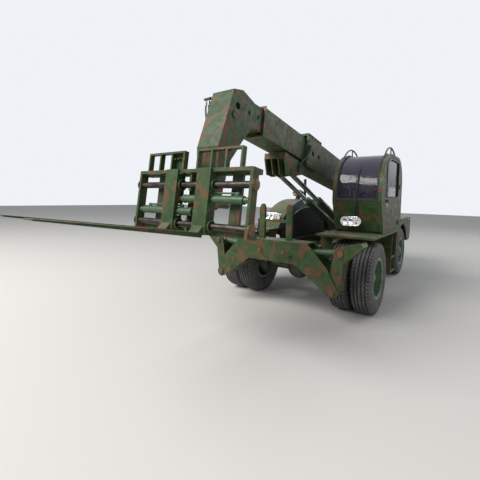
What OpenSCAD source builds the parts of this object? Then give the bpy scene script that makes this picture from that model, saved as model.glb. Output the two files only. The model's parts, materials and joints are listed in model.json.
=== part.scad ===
// Telescopic boom fork stacker: twin front wheels, steered rear wheels, side cab,
// three-section boom with a gooseneck head and a tilting fork carriage.
// It faces -Y, its left side is +X, and the ground is z = 0.
// The front axle is at Y = 0, midway between the fork tips and the counterweight's back.

/* [Wheels] */
// Distance between the axles
wheelbase = 3200; // [3000:50:3400]
// Outer diameter of every tyre
tyre_d = 1085; // [1040:5:1100]
// Width of every tyre
tyre_w = 300; // [270:5:305]
// Radius on which the tyre sits
rim_r = 285; // [280:1:290]
// Distance between the centres of twin tyres
twin_pitch = 345; // [335:5:360]
// Half the width over the front tyres
front_half = 1310; // [1290:5:1330]
// Half the width over the rear tyres
rear_half = 1080; // [1060:5:1100]
// Radius of the wheel spindles
spindle_r = 45; // [38:1:50]

/* [Chassis] */
// Underside of the chassis rails
rail_low = 700; // [680:5:720]
// Height of a rail
rail_h = 250; // [220:5:260]
// Outer face of the left rail
rail_x = 425; // [410:5:440]
// Width of a rail's flanges
rail_w = 90; // [80:5:100]
// Plate thickness of a rail
rail_t = 12; // [8:1:16]
// Top of the decks
deck_top = 1180; // [1170:5:1200]
// Thickness of the decks' edge
deck_t = 30; // [25:5:40]
// Outer edge of the front decks
deck_x = 1290; // [1280:5:1310]
// Front edge of the decks
deck_front = -360; // [-400:10:-340]

/* [Front bridge] */
// Front face of the stabiliser bridge
bridge_front = -1000; // [-1050:10:-980]
// Depth of the bridge from front to back
bridge_depth = 300; // [280:5:330]
// Thickness of the bridge plates
bridge_t = 20; // [14:1:25]
// Top of the bridge
bridge_top = 1100; // [1080:5:1120]
// Distance of a leg pin from the middle
leg_pin_x = 935; // [920:5:950]
// Height of a leg pin
leg_pin_z = 490; // [480:5:510]
// Radius of a leg pin
leg_pin_r = 35; // [25:1:40]
// Thickness of the leg plates
leg_t = 20; // [12:1:22]
// Distance of the leg cylinder's foot from the middle
leg_cyl_x = 200; // [180:5:240]
// Height of the leg cylinder's foot
leg_cyl_z = 930; // [900:5:950]
// Radius of the leg cylinder's barrel
leg_barrel_r = 45; // [35:1:50]

/* [Boom] */
// Place of the boom's rear pivot along the machine
pivot_y = 3400; // [3350:10:3450]
// Height of the boom's rear pivot
pivot_z = 1930; // [1880:10:1980]
// Radius of the boom's pivot pin
pivot_r = 45; // [35:1:55]
// Angle of the boom above level
boom_angle = 8.6; // [5:0.2:12]
// Height of the boom's centre line above its pivot
boom_axis_h = 20; // [0:5:40]
// Half the width of the outer section
outer_half_w = 200; // [195:5:215]
// Half the height of the outer section
outer_half_h = 240; // [235:5:255]
// Plate thickness of the boom sections
boom_t = 12; // [8:1:14]
// Gap between one section and the next
section_gap = 18; // [14:1:22]
// Front of the outer section, from the pivot
outer_front = 3750; // [3650:25:3850]
// Front of the middle section at rest, from the pivot
middle_front = 5030; // [4950:10:5100]
// Length of the outer section's collar
collar_len = 520; // [400:20:600]
// Thickness of the collars
collar_t = 22; // [14:1:26]

/* [Gooseneck head] */
// Thickness of the head's side plates
head_t = 20; // [12:1:24]
// Carriage pivot, distance along the boom
carriage_pivot_s = 5764; // [5740:4:5790]
// Carriage pivot, drop below the boom's pivot line
carriage_pivot_h = -1145; // [-1165:5:-1125]
// Radius of the carriage pivot pin
carriage_pin_r = 35; // [25:1:40]
// Tilt cylinder's top pin, distance along the boom
tilt_top_s = 5600; // [5580:5:5620]
// Tilt cylinder's top pin, height from the boom's pivot line
tilt_top_h = -110; // [-150:5:-90]
// Radius of the tilt cylinder's barrel
tilt_barrel_r = 50; // [40:1:60]

/* [Carriage] */
// Angle by which the carriage leans back at rest
carriage_lean = 7.6; // [4:0.2:10]
// Half the width of the carriage
carriage_half = 800; // [780:5:820]
// Thickness of the carriage's side plates
side_t = 30; // [20:1:36]
// Front plane of the carriage frame, ahead of its pivot
frame_front = 284; // [276:2:290]
// Depth of the carriage frame
frame_depth = 100; // [95:5:110]
// Top of the carriage frame, above its pivot
frame_top = 305; // [300:5:315]
// Bottom of the carriage frame, below its pivot
frame_low = 356; // [350:2:364]
// Distance of the guide shafts ahead of the pivot
shaft_fwd = 235; // [232:1:238]
// Height of the upper guide shaft
shaft_up = 146; // [140:2:152]
// Drop of the lower guide shaft
shaft_down = 266; // [260:2:272]
// Radius of the guide shafts
shaft_r = 35; // [28:1:38]
// Height of the load guards above the frame
guard_h = 200; // [160:10:260]
// Bars in each load guard
guard_bars = 4; // [3:1:5]

/* [Forks] */
// Distance of each fork's middle from the machine's middle
fork_x = 230; // [225:1:235]
// Width of a fork's upright
fork_w = 180; // [170:5:185]
// Width of a fork's blade
blade_w = 130; // [110:5:150]
// Length of a fork's blade
blade_len = 1480; // [1300:10:1700]
// Thickness of the blade at its heel
blade_t = 48; // [40:2:60]
// Radius of the positioner barrels
pos_barrel_r = 42; // [36:1:44]

/* [Lift cylinders] */
// Place of the lift cylinders' feet along the machine
lift_foot_y = 2100; // [2050:10:2150]
// Height of the lift cylinders' feet
lift_foot_z = 1080; // [1070:5:1100]
// Distance of each lift cylinder from the middle
lift_x = 110; // [105:1:115]
// Lift cylinders' top pin, distance along the boom
lift_top_s = 4110; // [4080:10:4140]
// Lift cylinders' top pin, drop below the boom's pivot line
lift_top_h = -425; // [-435:5:-410]
// Radius of a lift barrel
lift_barrel_r = 62; // [50:1:68]

/* [Cab] */
// Outer face of the cab
cab_x = 1270; // [1250:5:1290]
// Inner face of the cab
cab_in_x = 500; // [480:5:520]
// Front of the cab at its floor
cab_front = 310; // [290:10:330]
// Back of the cab
cab_back = 1750; // [1720:10:1780]
// Top of the cab
cab_top = 2495; // [2470:5:2520]
// Thickness of the cab's front, roof and back
cab_t = 40; // [30:2:46]
// Thickness of the cab's sides and door
cab_side_t = 35; // [30:1:40]
// Height of the windscreen's lower edge
sill_z = 1690; // [1650:10:1720]
// Gap around the door
door_gap = 6; // [5:1:8]

/* [Rear body] */
// Half the width of the counterweight
cw_half = 1090; // [1085:5:1110]
// Underside of the counterweight
cw_low = 740; // [720:10:760]
// Top of the counterweight
cw_top = 1310; // [1290:10:1340]

/* [Hidden] */

green = [0.27, 0.34, 0.20];
dark_green = [0.16, 0.22, 0.13];
rubber = [0.12, 0.12, 0.12];
rim_green = [0.35, 0.47, 0.32];
steel = [0.45, 0.42, 0.38];
black = [0.05, 0.05, 0.06];
glass_tint = [0.30, 0.28, 0.38, 0.45];
lamp_clear = [0.85, 0.88, 0.92];
lamp_red = [0.65, 0.08, 0.06];

// Fits: a shaft in its hole, two pieces that slide past each other, and a bolted seat
run_fit = 0.05;
slide_gap = 8;
pin_gap = 3;

axle_z = tyre_d / 2;
front_outer_x = front_half - tyre_w / 2;
front_inner_x = front_outer_x - twin_pitch;
twin_mid_x = (front_outer_x + front_inner_x) / 2;
rear_x = rear_half - tyre_w / 2;
rail_top = rail_low + rail_h;
bridge_back = bridge_front + bridge_depth;
leg_y = bridge_front + bridge_depth / 2;

// A point of the boom's own frame, s forward and h up from its pivot, as [Y, Z] of the machine
function boom_point(s, h) = [
    pivot_y - s * cos(boom_angle) + h * sin(boom_angle),
    pivot_z + s * sin(boom_angle) + h * cos(boom_angle)];
// A point of the carriage's own frame, f forward and h up from its pivot, as [Y, Z] of the machine
carriage_pivot = boom_point(carriage_pivot_s, carriage_pivot_h);
function carriage_point(f, h) = [
    carriage_pivot[0] - f * cos(carriage_lean) + h * sin(carriage_lean),
    carriage_pivot[1] + f * sin(carriage_lean) + h * cos(carriage_lean)];
// Points along an arc, from angle a to angle b, in the plane of a profile
function arc(cy, cz, r, a, b, n) = [for (i = [0 : n]) let (t = a + (b - a) * i / n)
    [cy + r * cos(t), cz + r * sin(t)]];

// The fork tips and the counterweight's back are equally far from the front axle
fork_face = frame_front + 26;
fork_tip_h = 9 - frame_low;
cw_back = -carriage_point(fork_face + blade_len, fork_tip_h)[0];

// A profile of [Y, Z] points, extruded along X from x0
module side_plate(points, x0, width)
    translate([x0, 0, 0]) rotate([90, 0, 90]) linear_extrude(width) polygon(points);
// A profile of [X, Z] points, extruded along Y from y0
module front_plate(points, y0, depth)
    translate([0, y0 + depth, 0]) rotate([90, 0, 0]) linear_extrude(depth) polygon(points);
// A profile of [X, Y] points, extruded up from z0
module flat_plate(points, z0, height)
    translate([0, 0, z0]) linear_extrude(height) polygon(points);
module bar_x(r, x0, x1, y, z)
    translate([x0, y, z]) rotate([0, 90, 0]) cylinder(r = r, h = x1 - x0, $fn = 48);
module bar_y(r, y0, y1, x, z)
    translate([x, y0, z]) rotate([-90, 0, 0]) cylinder(r = r, h = y1 - y0, $fn = 48);
module box(x0, x1, y0, y1, z0, z1)
    translate([x0, y0, z0]) cube([x1 - x0, y1 - y0, z1 - z0]);
module both_sides() {
    children();
    mirror([1, 0, 0]) children();
}
// Puts a shape that is drawn along +Z from a pin at the origin onto the line from one [Y, Z] point to another
module along(from, to)
    translate([0, from[0], from[1]])
        rotate([-atan2(to[0] - from[0], to[1] - from[1]), 0, 0])
            children();
// The boom's own frame: -Y forward along the boom, origin at its pivot
module boom_frame()
    translate([0, pivot_y, pivot_z]) rotate([-boom_angle, 0, 0]) children();
// The carriage's own frame: -Y forward along the forks, origin at the carriage pivot
module carriage_place()
    translate([0, carriage_pivot[0], carriage_pivot[1]]) rotate([-carriage_lean, 0, 0]) children();

// Chassis

cw_front = 3860;
cross_ys = [-560, 620, 1760, 2880, 3600];
tower_half = 262;
tower_t = 30;
tower_front = 2650;
tower_back = 3850;
tower_boss_r = 150;
seat_t = 35;
module rail()
    front_plate([[rail_x - rail_w, rail_low], [rail_x, rail_low], [rail_x, rail_top],
        [rail_x - rail_w, rail_top], [rail_x - rail_w, rail_top - rail_t],
        [rail_x - rail_t, rail_top - rail_t], [rail_x - rail_t, rail_low + rail_t],
        [rail_x - rail_w, rail_low + rail_t]], bridge_back, cw_front - bridge_back);
module tower_plate() {
    side_plate([[tower_front, rail_top + seat_t], [tower_back, rail_top + seat_t],
        [pivot_y + tower_boss_r, pivot_z], [pivot_y - tower_boss_r, pivot_z]], tower_half, tower_t);
    bar_x(tower_boss_r, tower_half, tower_half + tower_t, pivot_y, pivot_z);
    bar_x(pivot_r + 35, tower_half + tower_t, tower_half + tower_t + 20, pivot_y, pivot_z);
}
lift_ear_t = 20;
lift_ear_gap = 37;
lift_ear_r = 70;
lift_seat_half = 120;
module lift_ear(x0) {
    side_plate([[lift_foot_y - 110, rail_top + seat_t], [lift_foot_y + 110, rail_top + seat_t],
        [lift_foot_y + lift_ear_r, lift_foot_z], [lift_foot_y - lift_ear_r, lift_foot_z]], x0, lift_ear_t);
    bar_x(lift_ear_r, x0, x0 + lift_ear_t, lift_foot_y, lift_foot_z);
}
module chassis_frame() color(green) {
    both_sides() rail();
    for (y = cross_ys)
        bar_x(40, -(rail_x - rail_t), rail_x - rail_t, y, rail_low + rail_h / 2);
    box(-rail_x, rail_x, tower_front - 60, tower_back, rail_top, rail_top + seat_t);
    both_sides() tower_plate();
    bar_x(pivot_r, -tower_half - 1, tower_half + 1, pivot_y, pivot_z);
    box(-tower_half, tower_half, pivot_y + 260, pivot_y + 285, rail_top + seat_t, pivot_z - 430);
    box(-rail_x, rail_x, lift_foot_y - lift_seat_half, lift_foot_y + lift_seat_half, rail_top, rail_top + seat_t);
    both_sides() {
        lift_ear(lift_x + lift_ear_gap);
        lift_ear(lift_x - lift_ear_gap - lift_ear_t);
        bar_x(30, lift_x - lift_ear_gap - 1, lift_x + lift_ear_gap + 1, lift_foot_y, lift_foot_z);
    }
}

// Front bridge: two like plates with a gap in which each folded leg's cylinder lies

leg_root_r = 78;
bridge_outline = concat(
    [[-560, bridge_top], [560, bridge_top], [650, bridge_top - 90], [860, bridge_top - 310]],
    arc(leg_pin_x, leg_pin_z, leg_root_r, 30, -125, 8),
    [[390, bridge_top - 315], [-390, bridge_top - 315]],
    [for (p = arc(leg_pin_x, leg_pin_z, leg_root_r, -125, 30, 8)) [-p[0], p[1]]],
    [[-860, bridge_top - 310], [-650, bridge_top - 90]]);
module front_bridge() color(green) {
    for (y = [bridge_front, bridge_back - bridge_t])
        front_plate(bridge_outline, y, bridge_t);
    box(-560, 560, bridge_front + bridge_t, bridge_back - bridge_t, bridge_top - bridge_t, bridge_top);
    box(-320, 320, bridge_front + bridge_t, bridge_back - bridge_t,
        bridge_top - 315, bridge_top - 315 + bridge_t);
    both_sides() {
        front_plate([[500, 706], [790, 497], [800, 515], [510, 724]],
            bridge_front + bridge_t, bridge_depth - 2 * bridge_t);
        box(90, 90 + bridge_t, bridge_front + bridge_t, bridge_back - bridge_t,
            bridge_top - 300, bridge_top - bridge_t);
        bar_y(leg_pin_r, bridge_front - 14, bridge_back + 14, leg_pin_x, leg_pin_z);
        bar_y(25, bridge_front + 1, bridge_back - 1, leg_cyl_x, leg_cyl_z);
    }
    // Towing eye on the front plate
    difference() {
        box(250, 330, bridge_front - 60, bridge_front, 890, 915);
        translate([290, bridge_front - 32, 880]) cylinder(r = 16, h = 45, $fn = 32);
    }
}
rest_x = 230;
rest_w = 90;
rest_y = -900;
rest_t = 50;
rest_top = 1630;
rest_bar_top = 1400;
module boom_rest() color(green) {
    both_sides()
        front_plate([[rest_x - rest_w / 2, bridge_top], [rest_x + rest_w / 2, bridge_top],
            [rest_x + rest_w / 2, rest_top - 60], [rest_x + 10, rest_top],
            [rest_x - 20, rest_top], [rest_x - rest_w / 2, rest_top - 45]], rest_y, rest_t);
    box(-rest_x + rest_w / 2, rest_x - rest_w / 2, rest_y + 10, rest_y + rest_t - 5,
        rest_bar_top - 45, rest_bar_top);
}

// Stabiliser legs, folded up at rest

leg_clear = 8;
leg_plate_y0 = bridge_front + bridge_t + leg_clear;
leg_plate_y1 = bridge_back - bridge_t - leg_clear;
leg_eye = [leg_pin_x + 95, leg_pin_z + 520];
leg_outline = concat(
    [[leg_pin_x + 375, leg_pin_z + 628], [leg_pin_x + 350, leg_pin_z + 675],
     [leg_pin_x + 50, leg_pin_z + 596], [leg_pin_x + 12, leg_pin_z + 570]],
    arc(leg_pin_x, leg_pin_z, leg_root_r, 170, 350, 9),
    [[leg_pin_x + 125, leg_pin_z + 380]]);
leg_web = [[leg_pin_x + 77, leg_pin_z], [leg_pin_x + 125, leg_pin_z + 380],
    [leg_pin_x + 375, leg_pin_z + 628], [leg_pin_x + 363, leg_pin_z + 645],
    [leg_pin_x + 108, leg_pin_z + 388], [leg_pin_x + 60, leg_pin_z]];
module leg() difference() {
    union() {
        for (y = [leg_plate_y0, leg_plate_y1 - leg_t])
            front_plate(leg_outline, y, leg_t);
        front_plate(leg_web, leg_plate_y0 + leg_t, leg_plate_y1 - leg_plate_y0 - 2 * leg_t);
        bar_y(leg_pin_r + 15, leg_plate_y0, leg_plate_y1, leg_pin_x, leg_pin_z);
        bar_y(42, leg_plate_y0 - 6, leg_plate_y0, leg_eye[0], leg_eye[1]);
        bar_y(42, leg_plate_y1, leg_plate_y1 + 6, leg_eye[0], leg_eye[1]);
        bar_y(32, leg_plate_y0 + leg_t, leg_plate_y1 - leg_t, leg_pin_x + 335, leg_pin_z + 632);
    }
    bar_y(leg_pin_r + run_fit, leg_plate_y0 - 10, leg_plate_y1 + 10, leg_pin_x, leg_pin_z);
}
module leg_left() color(green) leg();
module leg_right() color(green) mirror([1, 0, 0]) leg();
leg_cyl_dx = leg_eye[0] - leg_cyl_x;
leg_cyl_dz = leg_eye[1] - leg_cyl_z;
leg_cyl_len = sqrt(leg_cyl_dx * leg_cyl_dx + leg_cyl_dz * leg_cyl_dz);
leg_barrel_end = leg_cyl_len - 62;
leg_rod_r = 25;
leg_pin_half = (leg_plate_y1 - leg_plate_y0) / 2 - leg_t;
module leg_cylinder_place()
    translate([leg_cyl_x, leg_y, leg_cyl_z]) rotate([0, atan2(leg_cyl_dx, leg_cyl_dz), 0]) children();
module leg_barrel() leg_cylinder_place() difference() {
    union() {
        rotate([90, 0, 0]) translate([0, 0, -40]) cylinder(r = 42, h = 80, $fn = 48);
        translate([0, 0, 30]) cylinder(r = leg_barrel_r, h = leg_barrel_end - 30, $fn = 48);
        translate([0, 0, leg_barrel_end - 40]) cylinder(r = leg_barrel_r + 5, h = 40, $fn = 48);
    }
    rotate([90, 0, 0]) translate([0, 0, -60]) cylinder(r = 25 + run_fit, h = 120, $fn = 48);
    translate([0, 0, 90]) cylinder(r = leg_rod_r + run_fit, h = leg_barrel_end, $fn = 48);
}
module leg_rod() leg_cylinder_place() {
    translate([0, 0, 110]) cylinder(r = leg_rod_r, h = leg_cyl_len - 130, $fn = 48);
    translate([0, 0, leg_cyl_len]) rotate([90, 0, 0]) {
        translate([0, 0, -45]) cylinder(r = 40, h = 90, $fn = 48);
        translate([0, 0, pin_gap - leg_pin_half]) cylinder(r = 24, h = 2 * (leg_pin_half - pin_gap), $fn = 48);
    }
}
module leg_barrel_left() color(green) leg_barrel();
module leg_barrel_right() color(green) mirror([1, 0, 0]) leg_barrel();
module leg_rod_left() color(steel) leg_rod();
module leg_rod_right() color(steel) mirror([1, 0, 0]) leg_rod();

// Axles

axle_tube_r = 75;
front_housing_r = 200;
front_flange = front_housing_r + 25;
rear_flange = 180;
module axle_seat(y)
    box(rail_x - rail_w, rail_x, y - 90, y + 90, axle_z, rail_low);
front_drum_x = front_inner_x - tyre_w / 2 - 20;
module front_axle() color(dark_green) {
    bar_x(axle_tube_r, -front_drum_x + 90, front_drum_x - 90, 0, axle_z);
    // Round housing with its shaft flange toward the rear
    translate([0, 0, axle_z]) sphere(r = front_housing_r, $fn = 64);
    bar_y(90, 0, front_flange, 0, axle_z);
    both_sides() {
        axle_seat(0);
        bar_x(200, front_drum_x - 100, front_drum_x, 0, axle_z);
        bar_x(spindle_r, front_drum_x, front_outer_x - 60, 0, axle_z);
    }
}
kingpin_x = 740;
kingpin_r = 25;
yoke_in = 130;
yoke_t = 30;
module rear_axle() color(dark_green) {
    bar_x(axle_tube_r - 5, -(kingpin_x - 90), kingpin_x - 90, wheelbase, axle_z);
    // Stepped drum housing with its shaft flange toward the front
    bar_x(145, -80, 80, wheelbase, axle_z);
    bar_x(115, -135, 135, wheelbase, axle_z);
    bar_y(90, wheelbase - rear_flange, wheelbase, 0, axle_z);
    both_sides() {
        axle_seat(wheelbase);
        box(kingpin_x - 100, kingpin_x - 75, wheelbase - 52, wheelbase + 52,
            axle_z - yoke_in - yoke_t, axle_z + yoke_in + yoke_t);
        for (z = [axle_z - yoke_in - yoke_t, axle_z + yoke_in]) {
            box(kingpin_x - 75, kingpin_x, wheelbase - 50, wheelbase + 50, z, z + yoke_t);
            translate([kingpin_x, wheelbase, z]) cylinder(r = 50, h = yoke_t, $fn = 48);
        }
        translate([kingpin_x, wheelbase, axle_z - yoke_in - yoke_t])
            cylinder(r = kingpin_r, h = 2 * (yoke_in + yoke_t), $fn = 48);
    }
    // Steering cylinder with the brackets that hold it
    difference() {
        union() {
            bar_x(42, -250, 250, steer_y, steer_z);
            both_sides() box(216, 241, wheelbase + 50, steer_y, axle_z - 60, axle_z - 30);
        }
        bar_x(steer_rod_r + run_fit, -251, 251, steer_y, steer_z);
    }
}
arm_reach = 180;
arm_in = 40;
steer_y = wheelbase + arm_reach;
steer_z = axle_z - 68;
steer_rod_r = 18;
module knuckle() difference() {
    union() {
        translate([kingpin_x, wheelbase, axle_z - yoke_in + 2]) cylinder(r = 58, h = 2 * yoke_in - 4, $fn = 48);
        bar_x(58, kingpin_x, rear_x - 125, wheelbase, axle_z);
        bar_x(spindle_r, kingpin_x + 20, rear_x + 60, wheelbase, axle_z);
        // Steering arm, under the rod's eye
        steering_arm(axle_z - yoke_in + 6);
    }
    translate([kingpin_x, wheelbase, axle_z - 200]) cylinder(r = kingpin_r + run_fit, h = 400, $fn = 48);
}
module steering_arm(z) {
    // Cut back inboard, so that it passes the yoke at full lock
    flat_plate([[kingpin_x - 8, wheelbase + 46], [kingpin_x + 50, wheelbase + 20],
        [kingpin_x - arm_in + 30, steer_y], [kingpin_x - arm_in - 30, steer_y]], z, 24);
    translate([kingpin_x - arm_in, steer_y, z]) cylinder(r = 30, h = 24, $fn = 48);
}
module knuckle_left() color(dark_green) knuckle();
module knuckle_right() color(dark_green) mirror([1, 0, 0]) knuckle();
module steering_rod() color(steel) {
    bar_x(steer_rod_r, -(kingpin_x - arm_in), kingpin_x - arm_in, steer_y, steer_z);
    both_sides()
        translate([kingpin_x - arm_in, steer_y, axle_z - yoke_in + 6 + 24 + pin_gap])
            cylinder(r = 28, h = 50, $fn = 48);
}
case_y0 = 1140;
case_y1 = 1600;
case_mid_z = axle_z + 138;
coupling_r = 62;
coupling_w = 50;
module drive_line() color(dark_green) {
    // Transfer case, hung between the rails, and the two shafts to the axles
    side_plate([[case_y0 + 40, case_mid_z - 210], [case_y1 - 40, case_mid_z - 210], [case_y1, case_mid_z - 120],
        [case_y1, case_mid_z + 40], [case_y1 - 40, case_mid_z + 180], [case_y0 + 100, case_mid_z + 200],
        [case_y0, case_mid_z + 120], [case_y0, case_mid_z - 120]], -130, 260);
    both_sides() box(129, rail_x - rail_t, case_y0 + 190, case_y0 + 230, case_mid_z + 100, case_mid_z + 140);
    bar_y(38, front_flange, case_y0 + 60, 0, axle_z);
    bar_y(38, case_y1 - 60, wheelbase - rear_flange, 0, axle_z);
    for (y = [front_flange + 1, case_y0 - coupling_w - 1, case_y1 + 1, wheelbase - rear_flange - coupling_w - 1])
        bar_y(coupling_r, y, y + coupling_w, 0, axle_z);
}

// Wheels: tyres and rims, drawn about +Z with their outer face up

function tyre_half() = let (w = tyre_w / 2, r = tyre_d / 2) [
    [rim_r, w - 38], [rim_r + 17, w - 38], [rim_r + 45, w - 10], [r - 132, w], [r - 62, w - 7],
    [r - 20, w - 22], [r - 3, w - 42], [r, 0]];
function down_side(points) = [for (i = [len(points) - 2 : -1 : 0]) [points[i][0], -points[i][1]]];
module tyre(z)
    translate([0, 0, z]) rotate_extrude($fn = 96) polygon(concat(tyre_half(), down_side(tyre_half())));
rim_seat = rim_r - 0.3;
rim_wall = 13;
rim_half = tyre_w / 2 - 29;
flange_r = rim_r + 15;
module rim_barrel(z)
    translate([0, 0, z]) rotate_extrude($fn = 96)
        polygon([[rim_seat - rim_wall, -rim_half], [flange_r, -rim_half], [flange_r, -rim_half + 8.5],
            [rim_seat, -rim_half + 8.5], [rim_seat, rim_half - 8.5], [flange_r, rim_half - 8.5],
            [flange_r, rim_half], [rim_seat - rim_wall, rim_half]]);
hub_bore = spindle_r + run_fit;
disc_t = 14;
hub_r = 130;
hand_holes = 8;
hand_hole_r = 26;
hand_hole_at = 168;
stud_count = 10;
stud_at = 112;
module dish(up) {
    // Disc from the hub out to the barrel; up is the height of its rim above its flat
    rotate_extrude($fn = 96)
        polygon([[hub_bore, 0], [205, 0], [236, up * 0.5], [rim_seat - rim_wall, up],
            [rim_seat - rim_wall, up + disc_t], [228, up * 0.5 + disc_t], [198, disc_t], [hub_bore, disc_t]]);
}
module hand_hole_cuts()
    for (i = [0 : hand_holes - 1])
        rotate([0, 0, 360 * i / hand_holes]) translate([hand_hole_at, 0, -400])
            cylinder(r = hand_hole_r, h = 800, $fn = 32);
module studs(z)
    for (i = [0 : stud_count - 1])
        rotate([0, 0, 360 * i / stud_count]) translate([stud_at, 0, z])
            cylinder(r = 14, h = 26, $fn = 6);
twin_half = twin_pitch / 2;
twin_spindle = front_outer_x - 60 - twin_mid_x;
hub_depth = twin_mid_x - front_drum_x - 8;
module twin_rims() {
    for (side = [-1, 1])
        rim_barrel(side * twin_half);
    difference() {
        union() {
            dish(70);
            mirror([0, 0, 1]) dish(70);
        }
        hand_hole_cuts();
    }
    rotate_extrude($fn = 64)
        polygon([[hub_bore, disc_t], [hub_r, disc_t], [hub_r, 45], [92, 62], [88, twin_spindle + 22],
            [0, twin_spindle + 22], [0, twin_spindle + 3], [hub_bore, twin_spindle + 3]]);
    rotate_extrude($fn = 64)
        polygon([[hub_bore, -disc_t], [hub_r, -disc_t], [hub_r, -hub_depth], [hub_bore, -hub_depth]]);
    studs(45);
}
rear_flat = 30;
rear_spindle = 60;
module rear_rim() {
    rim_barrel(0);
    difference() {
        translate([0, 0, rear_flat + disc_t]) mirror([0, 0, 1]) dish(58);
        hand_hole_cuts();
    }
    rotate_extrude($fn = 64)
        polygon([[hub_bore, rear_flat + disc_t], [hub_r, rear_flat + disc_t], [hub_r, 72], [92, 86],
            [88, 118], [0, 118], [0, rear_spindle + 3], [hub_bore, rear_spindle + 3]]);
    rotate_extrude($fn = 64)
        polygon([[hub_bore, rear_flat], [100, rear_flat], [100, -118], [hub_bore, -118]]);
    studs(72);
}
module left_wheel(x, y) translate([x, y, axle_z]) rotate([0, 90, 0]) children();
module right_wheel(x, y) translate([-x, y, axle_z]) rotate([0, -90, 0]) children();
module twin_tyres() for (side = [-1, 1]) tyre(side * twin_half);
module front_left_tyres() color(rubber) left_wheel(twin_mid_x, 0) twin_tyres();
module front_left_rims() color(rim_green) left_wheel(twin_mid_x, 0) twin_rims();
module front_right_tyres() color(rubber) right_wheel(twin_mid_x, 0) twin_tyres();
module front_right_rims() color(rim_green) right_wheel(twin_mid_x, 0) twin_rims();
module rear_left_tyre() color(rubber) left_wheel(rear_x, wheelbase) tyre(0);
module rear_left_rim() color(rim_green) left_wheel(rear_x, wheelbase) rear_rim();
module rear_right_tyre() color(rubber) right_wheel(rear_x, wheelbase) tyre(0);
module rear_right_rim() color(rim_green) right_wheel(rear_x, wheelbase) rear_rim();

// Decks, tanks and the bodywork around them

deck_in_x = 430;
left_deck_back = 1800;
right_deck_back = 2200;
engine_y = [660, 1500];
deck_notch_x = 790;
bracket_ys = [580, left_deck_back - 100];
tyre_bracket_y = -120;
module deck_bracket(y)
    front_plate([[rail_x, rail_top - 70], [rail_x, deck_top - deck_t], [deck_x - 60, deck_top - deck_t],
        [deck_x - 60, deck_top - deck_t - 30]], y, 20);
// Bracket over the front tyres, which clears them
module tyre_bracket()
    front_plate([[rail_x, rail_top - 70], [rail_x, deck_top - deck_t], [deck_x - 60, deck_top - deck_t],
        [deck_x - 60, deck_top - deck_t - 25], [front_inner_x - tyre_w / 2 - 50, deck_top - deck_t - 45],
        [front_inner_x - tyre_w / 2 - 90, rail_top - 50]], tyre_bracket_y, 20);
module deck_plates() color(green) {
    flat_plate([[deck_in_x, deck_front], [deck_x, deck_front], [deck_x, left_deck_back],
        [deck_in_x, left_deck_back]], deck_top - deck_t, deck_t);
    flat_plate([[-deck_in_x, deck_front], [-deck_x, deck_front], [-deck_x, right_deck_back],
        [-deck_in_x, right_deck_back], [-deck_in_x, engine_y[1] + 20], [-deck_notch_x, engine_y[1] + 20],
        [-deck_notch_x, engine_y[0] - 20], [-deck_in_x, engine_y[0] - 20]], deck_top - deck_t, deck_t);
    both_sides() {
        tyre_bracket();
        for (y = bracket_ys)
            deck_bracket(y);
    }
}
hood_in_x = 400;
hood_out_x = 800;
hood_t = 20;
hood_top = 1710;
hood_crown_y = 1100;
hood_bow_r = 1600;
hood_back = 2060;
function hood_profile(t) = let (r = hood_bow_r - t, zc = hood_top - hood_bow_r) concat(
    arc(hood_crown_y, zc, r, 180 - asin((deck_top - zc) / r), 90, 14),
    [[hood_back - 170 - t / 2, hood_top - t], [hood_back - t, hood_top - 210], [hood_back - t, deck_top]]);
louvres = 7;
louvre_pitch = 60;
module engine_hood() color(green) {
    difference() {
        side_plate(hood_profile(0), -hood_out_x, hood_out_x - hood_in_x);
        side_plate(hood_profile(hood_t), -hood_out_x + hood_t, hood_out_x - hood_in_x - 2 * hood_t);
        box(-hood_out_x + hood_t, -hood_in_x - hood_t, -500, hood_back - hood_t, deck_top - 1, deck_top + 1);
        for (i = [0 : louvres - 1])
            box(-hood_out_x - 1, -hood_out_x + hood_t + 1, 760, 1240,
                deck_top + 80 + i * louvre_pitch, deck_top + 100 + i * louvre_pitch);
    }
    // Foot of the inner side, down to the rail
    box(-hood_in_x - hood_t, -hood_in_x, 60, lift_foot_y - lift_seat_half, rail_top, deck_top);
    box(-hood_in_x - hood_t, -hood_in_x, 60, hood_back, rail_top + seat_t, deck_top);
}
cleaner_place = [-660, hood_crown_y + 120];
// Air cleaner on the hood: stem, dust bowl and rain cap in one revolved form, given as radius and height
cleaner_form = [[0, 0], [62, 0], [62, 12], [45, 16], [45, 55], [88, 68], [98, 84], [98, 116], [116, 120],
    [118, 132], [108, 156], [78, 182], [34, 197], [0, 200]];
module air_cleaner() color(black)
    translate([cleaner_place[0], cleaner_place[1], hood_top])
        rotate_extrude($fn = 48) polygon(cleaner_form);
exhaust_place = cleaner_place + [95, 135];
exhaust_r = 28;
exhaust_h = 430;
module exhaust_pipe() color(black) translate([exhaust_place[0], exhaust_place[1], hood_top]) {
    cylinder(r = exhaust_r + 22, h = 10, $fn = 48);
    difference() {
        cylinder(r = exhaust_r, h = exhaust_h, $fn = 48);
        translate([0, 0, 60]) cylinder(r = exhaust_r - 4, h = exhaust_h, $fn = 48);
    }
    // Rain flap, held open on its hinge
    translate([0, exhaust_r, exhaust_h - 6]) {
        rotate([30, 0, 0]) translate([0, -exhaust_r, 6]) cylinder(r = exhaust_r + 4, h = 4, $fn = 48);
        bar_x(7, -18, 18, 2, 4);
    }
}
engine_out = hood_out_x - 25;
module engine_block() color(black)
    box(-engine_out, -rail_x, engine_y[0], engine_y[1], rail_top - 150, hood_top - 130);
tank_x = [rail_x + 95, rail_x + 675];
tank_y = [1850, 2480];
tank_low = 640;
tank_top = 1090;
tank_r = 60;
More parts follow.
